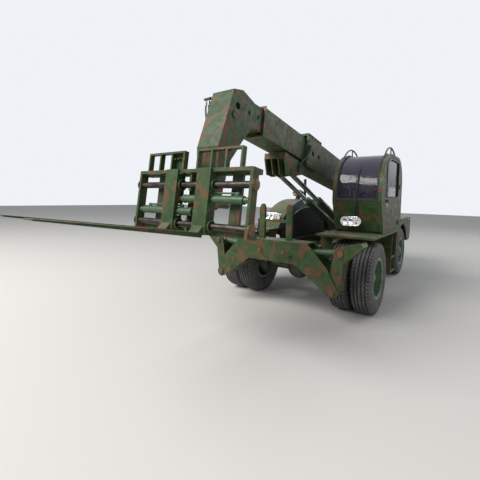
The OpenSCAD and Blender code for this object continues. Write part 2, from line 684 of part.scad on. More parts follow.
module tank_section(x0, x1, z0, z1, r)
    union() {
        translate([x0, z0 + r]) square([x1 - x0, z1 - z0 - 2 * r]);
        translate([x0 + r, z0]) square([x1 - x0 - 2 * r, z1 - z0]);
        for (x = [x0 + r, x1 - r])
            for (z = [z0 + r, z1 - r])
                translate([x, z]) circle(r = r, $fn = 32);
    }
module side_tanks() color(green) both_sides() {
    translate([0, tank_y[1], 0]) rotate([90, 0, 0]) linear_extrude(tank_y[1] - tank_y[0])
        tank_section(tank_x[0], tank_x[1], tank_low, tank_top, tank_r);
    for (y = [tank_y[0] + 80, tank_y[1] - 140])
        box(rail_x, tank_x[0] + 1, y, y + 60, rail_low + 40, rail_top - 40);
    translate([(tank_x[0] + tank_x[1]) / 2, tank_y[0] + 150, tank_top - 1]) cylinder(r = 55, h = 36, $fn = 32);
}
step_y = [950, 1350];
step_low = 450;
step_out = deck_x - 15;
step_in = step_out - 230;
module cab_steps() color(green) {
    for (y = [step_y[0], step_y[1] - 20])
        front_plate([[step_in, step_low], [step_out, step_low], [deck_x, deck_top - deck_t],
            [step_in, deck_top - deck_t]], y, 20);
    for (z = [step_low, step_low + 250])
        box(step_in + 10, step_out, step_y[0] + 20, step_y[1] - 20, z, z + 30);
}
fender_y0 = 2600;
fender_top = 1310;
fender_t = 20;
fender_low = 740;
arch_r = 640;
module rear_fenders() color(green) both_sides() {
    box(tower_half + tower_t, cw_half, fender_y0, cw_front, fender_top - fender_t, fender_top);
    difference() {
        box(cw_half - 30, cw_half, fender_y0, cw_front, fender_low, fender_top - fender_t);
        bar_x(arch_r, cw_half - 31, cw_half + 1, wheelbase, axle_z);
    }
}
lamp_pocket = 20;
jaw_floor = 860;
rear_lamp = [860, 1020, 1120, 1190];
module counterweight() color(green) difference() {
    side_plate(concat([[cw_front, cw_low], [cw_back - 180, cw_low]],
        arc(cw_back - 180, cw_low + 180, 180, -80, 0, 8), arc(cw_back - 60, cw_top - 60, 60, 0, 90, 6),
        [[cw_front, cw_top]]), -cw_half, 2 * cw_half);
    both_sides()
        box(rear_lamp[0], rear_lamp[1], cw_back - lamp_pocket, cw_back + 1, rear_lamp[2], rear_lamp[3]);
    // Towing jaw: a slot with an upright pin bore
    box(-70, 70, cw_back - 140, cw_back + 1, 960, 1040);
    translate([0, cw_back - 70, jaw_floor]) cylinder(r = 20, h = cw_top - jaw_floor + 1, $fn = 32);
}
module rear_lamps() color(lamp_red) both_sides()
    box(rear_lamp[0] + 0.3, rear_lamp[1] - 0.3, cw_back - lamp_pocket, cw_back - 2,
        rear_lamp[2] + 0.3, rear_lamp[3] - 0.3);

// Cab: a bent wrap of front, roof and back between two arched sides

cab_brow = 110;
brow_r = 640;
brow_z = 1855;
nape_r = 450;
slant_z = sill_z + 10;
nape_y = cab_back - nape_r;
nape_z = cab_top - nape_r;
slant = (cab_front - cab_brow) / (slant_z - deck_top);
function cab_profile(t) = let (front = cab_front + t * sqrt(1 + slant * slant)) concat(
    [[front, deck_top], [cab_brow + t, deck_top + (front - cab_brow - t) / slant]],
    arc(cab_brow + brow_r, brow_z, brow_r - t, 180, 90, 14),
    arc(nape_y, nape_z, nape_r - t, 90, 0, 10),
    [[cab_back - t, deck_top]]);
wrap_x0 = cab_in_x + cab_side_t;
wrap_x1 = cab_x - cab_side_t;
module cab_shell(outer, inner, x0, x1) difference() {
    side_plate(cab_profile(outer), x0, x1 - x0);
    side_plate(cab_profile(inner), x0 - 1, x1 - x0 + 2);
    box(x0 - 1, x1 + 1, cab_brow + inner + 1, cab_back - inner, deck_top - 1, deck_top + 40);
}
module cab_wrap() cab_shell(0, cab_t, wrap_x0, wrap_x1);
module cab_floor() color(dark_green)
    box(wrap_x0, wrap_x1, cab_front + cab_t * 1.1, cab_back - cab_t, deck_top, deck_top + cab_t);
module cab_front_panel() color(green) intersection() {
    cab_wrap();
    box(wrap_x0, wrap_x1, 0, 900, deck_top, sill_z);
}
screen_side = 35;
screen_low = sill_z + 45;
screen_back = 950;
module screen_cut()
    box(wrap_x0 + screen_side, wrap_x1 - screen_side, 0, screen_back, screen_low, cab_top + 1);
module cab_roof_frame() color(green) difference() {
    intersection() {
        cab_wrap();
        union() {
            box(wrap_x0, wrap_x1, 0, nape_y, sill_z, cab_top + 1);
            box(wrap_x0, wrap_x1, nape_y - 1, cab_back, nape_z, cab_top + 1);
        }
    }
    screen_cut();
}
back_window = [600, 1170, 1640, 1990];
module cab_back_wall() color(green) difference() {
    box(wrap_x0, wrap_x1, cab_back - cab_t, cab_back, deck_top, nape_z);
    box(back_window[0], back_window[1], cab_back - cab_t - 1, cab_back + 1, back_window[2], back_window[3]);
}
side_window_front = 420;
side_window_back = 1350;
side_window_low = 1780;
module side_window(x0, x1, inset, gap) intersection() {
    side_plate(cab_profile(inset + gap), x0, x1 - x0);
    box(x0, x1, side_window_front + gap, side_window_back - gap, side_window_low + gap, cab_top);
}
frame_inset = 55;
window_inset = 92;
module cab_inner_side() color(green) difference() {
    side_plate(cab_profile(0), cab_in_x, cab_side_t);
    side_window(cab_in_x - 1, wrap_x0 + 1, window_inset, 0);
}
door_y0 = 370;
door_y1 = 1420;
door_low = deck_top + cab_t;
module door_shape(x0, x1, gap) intersection() {
    side_plate(cab_profile(frame_inset + gap), x0, x1 - x0);
    box(x0, x1, door_y0 + gap, door_y1 - gap, door_low + gap, cab_top);
}
hinge_x = cab_x + 12;
hinge_y = door_y1 + 5;
hinge_zs = [1300, 1950];
hinge_pin_r = 6;
hinge_h = 60;
leaf_gap = 2;
module cab_outer_side() color(green) {
    difference() {
        side_plate(cab_profile(0), wrap_x1, cab_side_t);
        door_shape(wrap_x1 - 1, cab_x + 1, 0);
    }
    for (z = hinge_zs) {
        box(cab_x - 1, hinge_x + 12, hinge_y - 5, hinge_y + 30, z - 20, z - 2);
        translate([hinge_x, hinge_y, z - 20]) cylinder(r = hinge_pin_r, h = hinge_h + 24, $fn = 24);
    }
}
module cab_door() color(green) {
    difference() {
        union() {
            door_shape(wrap_x1, cab_x, door_gap);
            for (z = hinge_zs) {
                box(cab_x - 1, hinge_x, hinge_y - 40, door_y1 - door_gap, z, z + hinge_h);
                box(cab_x + leaf_gap, hinge_x, hinge_y - 40, hinge_y, z, z + hinge_h);
                translate([hinge_x, hinge_y, z]) cylinder(r = 12, h = hinge_h, $fn = 32);
            }
            bar_x(22, cab_x - 1, cab_x + 30, 445, 1710);
        }
        side_window(wrap_x1 - 1, cab_x + 1, window_inset, 0);
        for (z = hinge_zs)
            translate([hinge_x, hinge_y, z - 1]) cylinder(r = hinge_pin_r + run_fit, h = hinge_h + 2, $fn = 24);
    }
}
glass_in = 14;
glass_t = 6;
glass_gap = 0.3;
module door_glass() color(glass_tint)
    side_window(cab_x - glass_in - glass_t, cab_x - glass_in, window_inset, glass_gap);
module cab_glass() color(glass_tint) {
    intersection() {
        cab_shell(glass_in, glass_in + glass_t, wrap_x0, wrap_x1);
        box(wrap_x0 + screen_side + glass_gap, wrap_x1 - screen_side - glass_gap, 0, screen_back - glass_gap,
            screen_low + glass_gap, cab_top);
    }
    side_window(cab_in_x + glass_in, cab_in_x + glass_in + glass_t, window_inset, glass_gap);
    box(back_window[0] + glass_gap, back_window[1] - glass_gap, cab_back - glass_in - glass_t,
        cab_back - glass_in, back_window[2] + glass_gap, back_window[3] - glass_gap);
}
cab_mid_x = (cab_in_x + cab_x) / 2;
seat_y = 1180;
seat_z = 1640;
wheel_y = seat_y - 500;
wheel_z = seat_z + 265;
console_top = seat_z + 90;
module cab_seat() color(black) {
    box(cab_mid_x - 180, cab_mid_x + 180, seat_y - 170, seat_y + 170, door_low, door_low + 150);
    box(cab_mid_x - 240, cab_mid_x + 240, seat_y - 240, seat_y + 240, door_low + 150, seat_z);
    side_plate([[seat_y + 130, seat_z], [seat_y + 240, seat_z], [seat_y + 330, seat_z + 560],
        [seat_y + 250, seat_z + 590]], cab_mid_x - 230, 460);
}
module cab_controls() color(black) {
    // Column with its wheel, and a lever console on the seat's inner side
    side_plate([[wheel_y - 210, door_low], [wheel_y - 80, door_low], [wheel_y + 20, wheel_z - 5],
        [wheel_y - 30, wheel_z + 10]], cab_mid_x - 35, 70);
    translate([cab_mid_x, wheel_y, wheel_z]) rotate([30, 0, 0]) {
        cylinder(r = 40, h = 40, $fn = 32);
        translate([0, 0, 25]) rotate_extrude($fn = 48) translate([190, 0]) circle(r = 13, $fn = 16);
        for (a = [90, 210, 330])
            rotate([0, 0, a]) translate([0, 0, 25]) rotate([0, 90, 0]) cylinder(r = 9, h = 188, $fn = 16);
    }
    box(wrap_x0, wrap_x0 + 95, seat_y - 380, seat_y + 270, door_low, console_top);
    for (y = [seat_y - 320, seat_y - 250])
        translate([wrap_x0 + 45, y, console_top - 1]) cylinder(r = 10, h = 170, $fn = 16);
}
hoop_r = 630;
hoop_tube = 13;
hoop_y = 900;
hoop_rise = 125;
// Guard hoop: an arc of tube, cut off by the roof's own curve, with a post under its crown
module hoop(x) difference() {
    translate([x, hoop_y, cab_top + hoop_rise]) union() {
        translate([0, 0, -hoop_r]) rotate([0, 90, 0])
            rotate_extrude($fn = 96) translate([hoop_r, 0]) circle(r = hoop_tube, $fn = 20);
        translate([0, 0, -hoop_rise - 5]) cylinder(r = hoop_tube - 3, h = hoop_rise + 5, $fn = 20);
    }
    side_plate(cab_profile(0), x - 50, 100);
}
module roof_hoops() color(black) {
    hoop(cab_in_x + 60);
    hoop(cab_x - 60);
}
headlamp_z = 1370;
headlamp_r = 68;
module lamp_bar(x0, x1, y0, y1) {
    bar_y(headlamp_r, y0, y1, x0 + headlamp_r, headlamp_z);
    bar_y(headlamp_r, y0, y1, x1 - headlamp_r, headlamp_z);
    box(x0 + headlamp_r, x1 - headlamp_r, y0, y1, headlamp_z - headlamp_r, headlamp_z + headlamp_r);
}
module headlamps() color(lamp_clear) {
    difference() {
        lamp_bar(640, 950, 170, 300);
        side_plate(cab_profile(0), cab_in_x, cab_x - cab_in_x);
    }
    difference() {
        lamp_bar(-755, -445, 40, 250);
        side_plate(hood_profile(0), -hood_out_x, hood_out_x - hood_in_x);
    }
}

// Telescopic boom, drawn in its own frame with -Y forward

module boom_box(w, h, s0, s1)
    box(-w, w, -s1, -s0, boom_axis_h - h, boom_axis_h + h);
module boom_tube(w, h, s0, s1) difference() {
    boom_box(w, h, s0, s1);
    boom_box(w - boom_t, h - boom_t, s0 - 1, s1 + 1);
}
middle_half_w = outer_half_w - boom_t - section_gap;
rise_gap = 43;
middle_half_h = outer_half_h - boom_t - rise_gap;
inner_gap = 22;
inner_half_w = middle_half_w - boom_t - inner_gap;
inner_half_h = middle_half_h - boom_t - inner_gap;
outer_rear = -200;
middle_rear = 1380;
inner_rear = 2200;
head_rear = middle_front + 15;
pad_len = 150;
pad_w = 120;
// Wear pads between one section's walls and the section inside it
module pads(w, h, inner_w, inner_h, s1) {
    for (side = [-1, 1]) {
        box(side > 0 ? inner_w + 0.3 : -w, side > 0 ? w : -inner_w - 0.3, -s1, -s1 + pad_len,
            boom_axis_h - pad_w, boom_axis_h + pad_w);
        box(-pad_w / 2, pad_w / 2, -s1, -s1 + pad_len,
            boom_axis_h + (side > 0 ? inner_h + 0.3 : -h), boom_axis_h + (side > 0 ? h : -inner_h - 0.3));
    }
}
collar_holes = [[3540, 0], [3298, 7]];
collar_hole_r = 42;
bracket_xs = [47, 155];
bracket_t = 18;
lift_bracket = [[3300, -225], [3750, -225], [4380, -205], [4380, -290], [4283, -506], [4112, -506],
    [3347, -273]];
module boom_outer() color(green) boom_frame() difference() {
    union() {
        boom_tube(outer_half_w, outer_half_h, outer_rear, outer_front);
        difference() {
            boom_box(outer_half_w + collar_t, outer_half_h + collar_t, outer_front - collar_len, outer_front);
            boom_box(outer_half_w - boom_t, outer_half_h - boom_t, outer_front - collar_len - 1, outer_front + 1);
        }
        pads(outer_half_w - boom_t, outer_half_h - boom_t, middle_half_w, middle_half_h, outer_front);
        bar_x(pivot_r + 45, -255, 255, 0, 0);
        both_sides() {
            for (x = bracket_xs)
                side_plate([for (p = lift_bracket) [-p[0], p[1]]], x, bracket_t);
            bar_x(55, bracket_xs[1] + bracket_t - 1, bracket_xs[1] + bracket_t + 8, -lift_top_s, lift_top_h);
        }
        box(-bracket_xs[1], bracket_xs[1], -4380, -4355, -290, -205);
        box(-bracket_xs[1], bracket_xs[1], -outer_front, -outer_front + 25, -262, -219);
    }
    bar_x(pivot_r + run_fit, -300, 300, 0, 0);
    for (hole = collar_holes)
        bar_x(collar_hole_r, -400, 400, -hole[0], hole[1]);
}
module boom_middle() color(green) boom_frame() {
    boom_tube(middle_half_w, middle_half_h, middle_rear, middle_front);
    difference() {
        boom_box(middle_half_w + 14, middle_half_h + 14, middle_front - 25, middle_front);
        boom_box(middle_half_w - boom_t, middle_half_h - boom_t, middle_front - 26, middle_front + 1);
    }
    pads(middle_half_w - boom_t, middle_half_h - boom_t, inner_half_w, inner_half_h, middle_front);
}
module boom_inner() color(green) boom_frame()
    boom_tube(inner_half_w, inner_half_h, inner_rear, head_rear);

// Gooseneck head: two side plates joined by a bent front and top cover, open below

head_half = 156;
head_in = head_half - head_t;
cover_t = 16;
neck_low = -135;
neck_top = 172;
head_cover = [[head_rear, neck_top], [5123, neck_top], [5233, 165], [5495, 221], [5668, 165],
    [5825, -537], [5777, -853], [5820, -1090]];
head_under = [[5609, -696], [5579, -631], [5496, -507], [5398, -351], [5272, -180], [5200, neck_low],
    [head_rear, neck_low]];
head_boss_r = 85;
hose_s = 5560;
hose_h = 95;
hose_reach = 135;
hose_xs = [-head_half - 105, -head_half - 45];
head_tip = [[carriage_pivot_s - 80, carriage_pivot_h + 30]];
function inward(p, q) = [q[1] - p[1], p[0] - q[0]] / norm(q - p);
// A line of points moved inward by t, with mitred corners
function inset_line(line, t) = let (last = len(line) - 1) [for (i = [0 : last])
    let (a = inward(line[max(i - 1, 0)], line[max(i, 1)]),
        b = inward(line[min(i, last - 1)], line[min(i + 1, last)]))
    line[i] + t * (a + b) / (1 + a * b)];
covered = len(head_cover) - 2;
cover_end = head_cover[covered];
head_hollow = concat([[head_rear + cover_t, neck_top - cover_t]],
    inset_line([for (i = [1 : covered]) head_cover[i]], cover_t),
    [[cover_end[0] + 100, cover_end[1] - 6], [cover_end[0] + 100, -1300], [5210, -1300],
        [5210, neck_low + cover_t], [head_rear + cover_t, neck_low + cover_t]]);
module boom_head() color(green) boom_frame() {
    difference() {
        side_plate([for (p = concat(head_cover, head_tip, head_under)) [-p[0], p[1]]], -head_half, 2 * head_half);
        side_plate([for (p = head_hollow) [-p[0], p[1]]], -head_in, 2 * head_in);
        bar_x(42, -head_half - 1, head_half + 1, -5564, 8);
        box(-head_half - 1, head_half + 1, -5350, -5314, -12, 40);
        box(-head_half - 1, head_half + 1, -5158, -5126, -4, 50);
    }
    both_sides() {
        bar_x(head_boss_r, head_in, head_half, -carriage_pivot_s, carriage_pivot_h);
        bar_x(46, head_in, head_half + 12, -tilt_top_s, tilt_top_h);
    }
    bar_x(carriage_pin_r, -head_in - 1, head_in + 1, -carriage_pivot_s, carriage_pivot_h);
    bar_x(30, -head_in - 1, head_in + 1, -tilt_top_s, tilt_top_h);
    // Hose bracket on the right plate, with its two bulkhead fittings
    box(-head_half - hose_reach, -head_half + 1, -hose_s - 30, -hose_s + 30, hose_h, hose_h + 8);
    for (x = hose_xs)
        translate([x, -hose_s, hose_h - 34]) cylinder(r = 15, h = 68, $fn = 32);
}

// Lift cylinders

lift_top = boom_point(lift_top_s, lift_top_h);
lift_foot = [lift_foot_y, lift_foot_z];
lift_span = norm(lift_top - lift_foot);
lift_barrel_len = 1760;
lift_rod_r = 38;
lift_pin_r = 30;
lift_eye_half = 34;
lift_neck = lift_ear_r + 24;
module lift_barrels() color(green) along(lift_foot, lift_top) both_sides() translate([lift_x, 0, 0])
    difference() {
        union() {
            bar_x(60, -lift_eye_half, lift_eye_half, 0, 0);
            cylinder(r = lift_eye_half - 5, h = lift_neck + 1, $fn = 48);
            translate([0, 0, lift_neck]) cylinder(r = lift_barrel_r, h = lift_barrel_len - lift_neck, $fn = 48);
            translate([0, 0, lift_barrel_len - 70]) cylinder(r = lift_barrel_r + 8, h = 70, $fn = 48);
        }
        bar_x(lift_pin_r + run_fit, -100, 100, 0, 0);
        translate([0, 0, 120]) cylinder(r = lift_rod_r + run_fit, h = lift_barrel_len, $fn = 48);
    }
// From the foot pin to the rod's lower end
lift_rod_in = 340;
lift_rod_len = lift_span - lift_rod_in;
module lift_rods() color(steel) along(lift_foot, lift_top) both_sides() translate([lift_x, 0, 0]) {
    translate([0, 0, lift_span - lift_rod_len]) cylinder(r = lift_rod_r, h = lift_rod_len - 20, $fn = 48);
    translate([0, 0, lift_span]) bar_x(54, -30, 30, 0, 0);
    translate([0, 0, lift_span]) bar_x(lift_pin_r, pin_gap - 40, 40 - pin_gap, 0, 0);
}

// Tilt cylinder, inside the head

tilt_top = boom_point(tilt_top_s, tilt_top_h);
tilt_eye_back = 260;
tilt_eye = carriage_point(-tilt_eye_back, 0);
tilt_span = norm(tilt_eye - tilt_top);
tilt_barrel_len = 740;
// From the head's pin to the rod's inner end
tilt_rod_in = 308;
tilt_rod_len = tilt_span - tilt_rod_in;
tilt_rod_r = 30;
module tilt_barrel() color(green) along(tilt_top, tilt_eye) difference() {
    union() {
        bar_x(50, -60, 60, 0, 0);
        translate([0, 0, 35]) cylinder(r = tilt_barrel_r, h = tilt_barrel_len - 35, $fn = 48);
        translate([0, 0, tilt_barrel_len - 45]) cylinder(r = tilt_barrel_r + 6, h = 45, $fn = 48);
    }
    bar_x(30 + run_fit, -70, 70, 0, 0);
    translate([0, 0, 90]) cylinder(r = tilt_rod_r + run_fit, h = tilt_barrel_len, $fn = 48);
}
ear_x = 85;
ear_t = 25;
module tilt_rod() color(steel) along(tilt_top, tilt_eye) {
    translate([0, 0, tilt_span - tilt_rod_len]) cylinder(r = tilt_rod_r, h = tilt_rod_len - 20, $fn = 48);
    translate([0, 0, tilt_span]) bar_x(46, -50, 50, 0, 0);
    translate([0, 0, tilt_span]) bar_x(26, pin_gap - ear_x, ear_x - pin_gap, 0, 0);
}

// Carriage, drawn in its own frame with -Y forward and its pivot at the origin

beam_t = 35;
rear_y = 120;
frame_back = frame_front - frame_depth;
post_x = 540;
post_w = 125;
hanger_t = 30;
module ear() {
    side_plate([[-rear_y - 1, -75], [-rear_y - 1, 120], [-30, 70], [40, 62], [tilt_eye_back - 10, 44],
        [tilt_eye_back - 10, -44], [40, -60], [-30, -66]], ear_x, ear_t);
    bar_x(44, ear_x, ear_x + ear_t + 8, tilt_eye_back, 0);
}
module carriage_frame() color(green) carriage_place() difference() {
    union() {
        both_sides() {
            box(carriage_half - side_t, carriage_half, -frame_front, -frame_back, -frame_low, frame_top);
            box(post_x - post_w / 2, post_x + post_w / 2, -rear_y - 35, -rear_y, -frame_low, frame_top);
            ear();
            // Cheek plate around the shaft ends
            bar_x(60, carriage_half, carriage_half + 12, -shaft_fwd, shaft_up);
            bar_x(60, carriage_half, carriage_half + 12, -shaft_fwd, -shaft_down);
            box(carriage_half - side_t, carriage_half, -frame_back - 1, -rear_y, -frame_low, -frame_low + 60);
            box(carriage_half - side_t, carriage_half, -frame_back - 1, -rear_y, frame_top - 50, frame_top);
        }
        box(-carriage_half, carriage_half, -frame_front, -frame_back, frame_top - beam_t, frame_top);
        box(-carriage_half, carriage_half, -frame_back - 1, -rear_y, frame_top - 50, frame_top);
        box(-carriage_half, carriage_half, -frame_back + 5, -rear_y, -frame_low, -frame_low + 56);
        box(-ear_x - ear_t, ear_x + ear_t, -rear_y - 20, -rear_y, -frame_low, frame_top);
        bar_x(60, -132, 132, 0, 0);
        box(-hanger_t / 2, hanger_t / 2, -frame_back - 66, -rear_y - 19, shaft_up - 60, frame_top - beam_t + 1);
        box(-hanger_t / 2, hanger_t / 2, -frame_back - 66, -rear_y - 19, -frame_low, -shaft_down + 60);
    }
    bar_x(carriage_pin_r + run_fit, -140, 140, 0, 0);
    for (z = [shaft_up, -shaft_down])
        bar_x(shaft_r + run_fit, -carriage_half - 20, carriage_half + 20, -shaft_fwd, z);
}
module guide_shafts() color(steel) carriage_place()
    for (z = [shaft_up, -shaft_down])
        bar_x(shaft_r, -carriage_half - 20, carriage_half + 20, -shaft_fwd, z);
guard_in = 90;
guard_out = 665;
guard_bar = 20;
module load_guards() color(green) carriage_place() {
    both_sides() {
        for (i = [0 : guard_bars - 1])
            translate([guard_in + i * (guard_out - guard_in - guard_bar) / (guard_bars - 1), -frame_front, frame_top])
                cube([guard_bar, 60, guard_h]);
        box(guard_in, guard_out, -frame_front, -frame_front + 60, frame_top + guard_h - guard_bar,
            frame_top + guard_h);
    }
    // Plate behind the right guard that carries the hose fittings
    box(-335, -175, -frame_front + 61, -frame_front + 73, frame_top, frame_top + guard_h);
}
pos_up = 0;
pos_down = -133;
pos_rod_r = 22;
pos_pipe_up = 22;
// Positioner cylinder of the left side: held by the left side plate, it moves the right fork
module positioner(z) {
    difference() {
        bar_x(pos_barrel_r, -70, 700, -shaft_fwd, z);
        bar_x(pos_rod_r + run_fit, -71, 620, -shaft_fwd, z);
    }
    bar_x(30, 699, carriage_half - side_t, -shaft_fwd, z);
    bar_x(9, 90, 620, -shaft_fwd, z + pos_barrel_r + pos_pipe_up);
    for (x = [110, 330, 590])
        box(x, x + 16, -shaft_fwd - 8, -shaft_fwd + 8, z + pos_barrel_r - 4, z + pos_barrel_r + pos_pipe_up - 2);
}
module positioner_barrels() color(green) carriage_place() {
    positioner(pos_up);
    mirror([1, 0, 0]) positioner(pos_down);
}

// Forks; each slides on the guide shafts

upright_t = 20;
wall_t = 14;
bush_r = 58;
bush_len = 200;
module fork(rod_z, other_z) {
    x0 = fork_x - fork_w / 2;
    x1 = fork_x + fork_w / 2;
    difference() {
        union() {
            box(x0, x1, -fork_face, -fork_face + upright_t, -frame_low, frame_top);
            for (x = [x0, x1 - wall_t])
                box(x, x + wall_t, -fork_face + upright_t - 1, -frame_back - 6, -frame_low + 16, frame_top - 47);
            for (z = [shaft_up, -shaft_down])
                bar_x(bush_r, fork_x - bush_len / 2, fork_x + bush_len / 2, -shaft_fwd, z);
            side_plate([[-fork_face + 1, -frame_low + 21], [-fork_face + 1, -frame_low - blade_t + 21],
                [-fork_face - blade_len + 40, fork_tip_h - 1], [-fork_face - blade_len, fork_tip_h],
                [-fork_face - blade_len, -frame_low + 21]], fork_x - blade_w / 2, blade_w);
            side_plate([[-fork_face + 1, -frame_low + 20], [-fork_face - 60, -frame_low + 20],
                [-fork_face + 1, -frame_low + 90]], fork_x - blade_w / 2, blade_w);
        }
        for (z = [shaft_up, -shaft_down])
            bar_x(shaft_r + run_fit, x0 - 50, x1 + 50, -shaft_fwd, z);
        bar_x(pos_barrel_r + 8, x0 - 50, x1 + 50, -shaft_fwd, other_z);
        box(x0 - 50, x1 + 50, -shaft_fwd - 15, -shaft_fwd + 15, other_z, other_z + pos_barrel_r + pos_pipe_up + 16);
    }
    // Rod of the positioner that reaches in from the machine's other side
    bar_x(pos_rod_r, -480, x0 + wall_t + 6, -shaft_fwd, rod_z);
    bar_x(34, x0 - 12, x0 + wall_t + 14, -shaft_fwd, rod_z);
}
module fork_left() color(green) carriage_place() fork(pos_down, pos_up);
module fork_right() color(green) carriage_place() mirror([1, 0, 0]) fork(pos_up, pos_down);

chassis_frame();
front_bridge();
boom_rest();
front_axle();
rear_axle();
drive_line();
deck_plates();
engine_hood();
air_cleaner();
exhaust_pipe();
engine_block();
side_tanks();
cab_steps();
rear_fenders();
counterweight();
cab_floor();
cab_front_panel();
cab_roof_frame();
cab_back_wall();
cab_inner_side();
cab_outer_side();
cab_glass();
cab_seat();
cab_controls();
roof_hoops();
headlamps();
rear_lamps();
cab_door();
door_glass();
knuckle_left();
knuckle_right();
steering_rod();
front_left_tyres();
front_left_rims();
front_right_tyres();
front_right_rims();
rear_left_tyre();
rear_left_rim();
rear_right_tyre();
rear_right_rim();
boom_outer();
boom_middle();
boom_inner();
boom_head();
carriage_frame();
guide_shafts();
load_guards();
positioner_barrels();
fork_left();
fork_right();
lift_barrels();
lift_rods();
tilt_barrel();
tilt_rod();
leg_left();
leg_right();
leg_barrel_left();
leg_barrel_right();
leg_rod_left();
leg_rod_right();
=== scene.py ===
# %% [markdown]
# # A camouflaged boom fork stacker
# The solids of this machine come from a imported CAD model, one object for each piece of steel, glass or
# rubber. This script gives them their paint, wear and dust, and adds what a workshop would bolt on last:
# tyre treads, hoses, seals, bolts and cushions. It starts by loading the frame that every piece rides on.

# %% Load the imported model
import json
import math

import bmesh
import bpy
from mathutils import Matrix, Vector


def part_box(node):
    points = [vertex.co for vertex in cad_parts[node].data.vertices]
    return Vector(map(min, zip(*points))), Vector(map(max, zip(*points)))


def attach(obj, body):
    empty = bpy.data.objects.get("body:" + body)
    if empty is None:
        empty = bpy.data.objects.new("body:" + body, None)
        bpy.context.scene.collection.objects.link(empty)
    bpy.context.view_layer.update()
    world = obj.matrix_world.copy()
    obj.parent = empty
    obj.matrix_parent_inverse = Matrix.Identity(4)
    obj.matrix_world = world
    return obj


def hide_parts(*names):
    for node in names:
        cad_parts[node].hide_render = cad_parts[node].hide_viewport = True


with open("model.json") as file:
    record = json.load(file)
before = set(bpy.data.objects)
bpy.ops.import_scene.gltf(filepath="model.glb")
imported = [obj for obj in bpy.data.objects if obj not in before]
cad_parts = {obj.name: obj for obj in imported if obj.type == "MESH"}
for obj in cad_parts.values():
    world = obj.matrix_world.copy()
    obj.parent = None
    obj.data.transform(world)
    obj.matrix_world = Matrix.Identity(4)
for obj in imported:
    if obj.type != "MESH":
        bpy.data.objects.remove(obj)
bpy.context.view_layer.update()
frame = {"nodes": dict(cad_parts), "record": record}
nodes = frame["nodes"]

# %% [markdown]
# The camera stands at eye height near the machine's front left corner. A short lens makes
# the near fork carriage large and the rear wheel small, so its place matters more than its zoom. The
# frame is shifted down a little instead of tilting the camera, which keeps upright edges upright.

# %% Camera
camera_place = Vector((2.386, -5.093, 1.719))
heading = math.radians(35.94)
look_down = math.radians(2.92)
roll = math.radians(1.29)
forward = Vector((-math.sin(heading) * math.cos(look_down), math.cos(heading) * math.cos(look_down),
                  -math.sin(look_down)))
level_right = Vector((math.cos(heading), math.sin(heading), 0))
level_up = level_right.cross(forward)
right = math.cos(roll) * level_right + math.sin(roll) * level_up
up = math.cos(roll) * level_up - math.sin(roll) * level_right
camera_data = bpy.data.cameras.new("camera")
camera_data.sensor_width = 36
camera_data.lens = 24.0
camera_data.shift_y = -0.055
camera = bpy.data.objects.new("camera", camera_data)
bpy.context.scene.collection.objects.link(camera)
camera.matrix_world = Matrix.Translation(camera_place) @ Matrix(
    (right, up, -forward)).transposed().to_4x4()
bpy.context.scene.camera = camera
print("camera to front axle:", round(camera_place.length, 2), "m")

# %% [markdown]
# Studio light for a machine this big is a wide soft key above its right front corner, a weak fill on
# the cab's side, a rim from behind and a pale world around it. The world shows as near white to the
# camera and in reflections, through the Light Path node, while its light on the machine stays plain.
# The floor is a pale matt sheet, big enough to reach the horizon, and it keeps the shadow.

# %% Light and floor
bpy.context.scene.view_settings.view_transform = "Standard"


def area_light(name, place, target, size, power, colour=(1, 1, 1)):
    data = bpy.data.lights.new(name, "AREA")
    data.shape = "RECTANGLE"
    data.size = size[0]
    data.size_y = size[1]
    data.energy = power
    data.color = colour
    lamp = bpy.data.objects.new(name, data)
    bpy.context.scene.collection.objects.link(lamp)
    lamp.location = place
    lamp.rotation_euler = (Vector(target) - Vector(place)).to_track_quat("-Z", "Y").to_euler()
    return lamp


area_light("key_light", (-6.0, -13.0, 12.0), (0, 0.5, 1.2), (11, 8), 3300, (1.0, 0.98, 0.94))
area_light("fill_light", (11, -5.0, 5.0), (0, 0, 1.2), (8, 6), 60, (0.94, 0.97, 1.0))
area_light("rim_light", (7.0, 13.0, 9.0), (0, 2, 1.5), (7, 6), 300)


def seen_background(tree, pale, plain, strength):
    """A shader that camera, glossy and transmission rays see as the pale colour at strength 1."""
    path = tree.nodes.new("ShaderNodeLightPath")
    glossy = tree.nodes.new("ShaderNodeMath")
    glossy.operation = "MAXIMUM"
    clear = tree.nodes.new("ShaderNodeMath")
    clear.operation = "MAXIMUM"
    tree.links.new(path.outputs["Is Camera Ray"], glossy.inputs[0])
    tree.links.new(path.outputs["Is Glossy Ray"], glossy.inputs[1])
    tree.links.new(glossy.outputs[0], clear.inputs[0])
    tree.links.new(path.outputs["Is Transmission Ray"], clear.inputs[1])
    lit = tree.nodes.new("ShaderNodeBackground")
    lit.inputs["Color"].default_value = plain
    lit.inputs["Strength"].default_value = strength
    seen = tree.nodes.new("ShaderNodeBackground")
    seen.inputs["Color"].default_value = pale
    mix = tree.nodes.new("ShaderNodeMixShader")
    tree.links.new(clear.outputs[0], mix.inputs["Fac"])
    tree.links.new(lit.outputs[0], mix.inputs[1])
    tree.links.new(seen.outputs[0], mix.inputs[2])
    return mix


world = bpy.data.worlds.new("studio")
bpy.context.scene.world = world
world.use_nodes = True
world.node_tree.nodes.clear()
sky = seen_background(world.node_tree, (0.86, 0.89, 0.93, 1), (0.80, 0.85, 0.92, 1), 0.32)
world_out = world.node_tree.nodes.new("ShaderNodeOutputWorld")
world.node_tree.links.new(sky.outputs[0], world_out.inputs["Surface"])

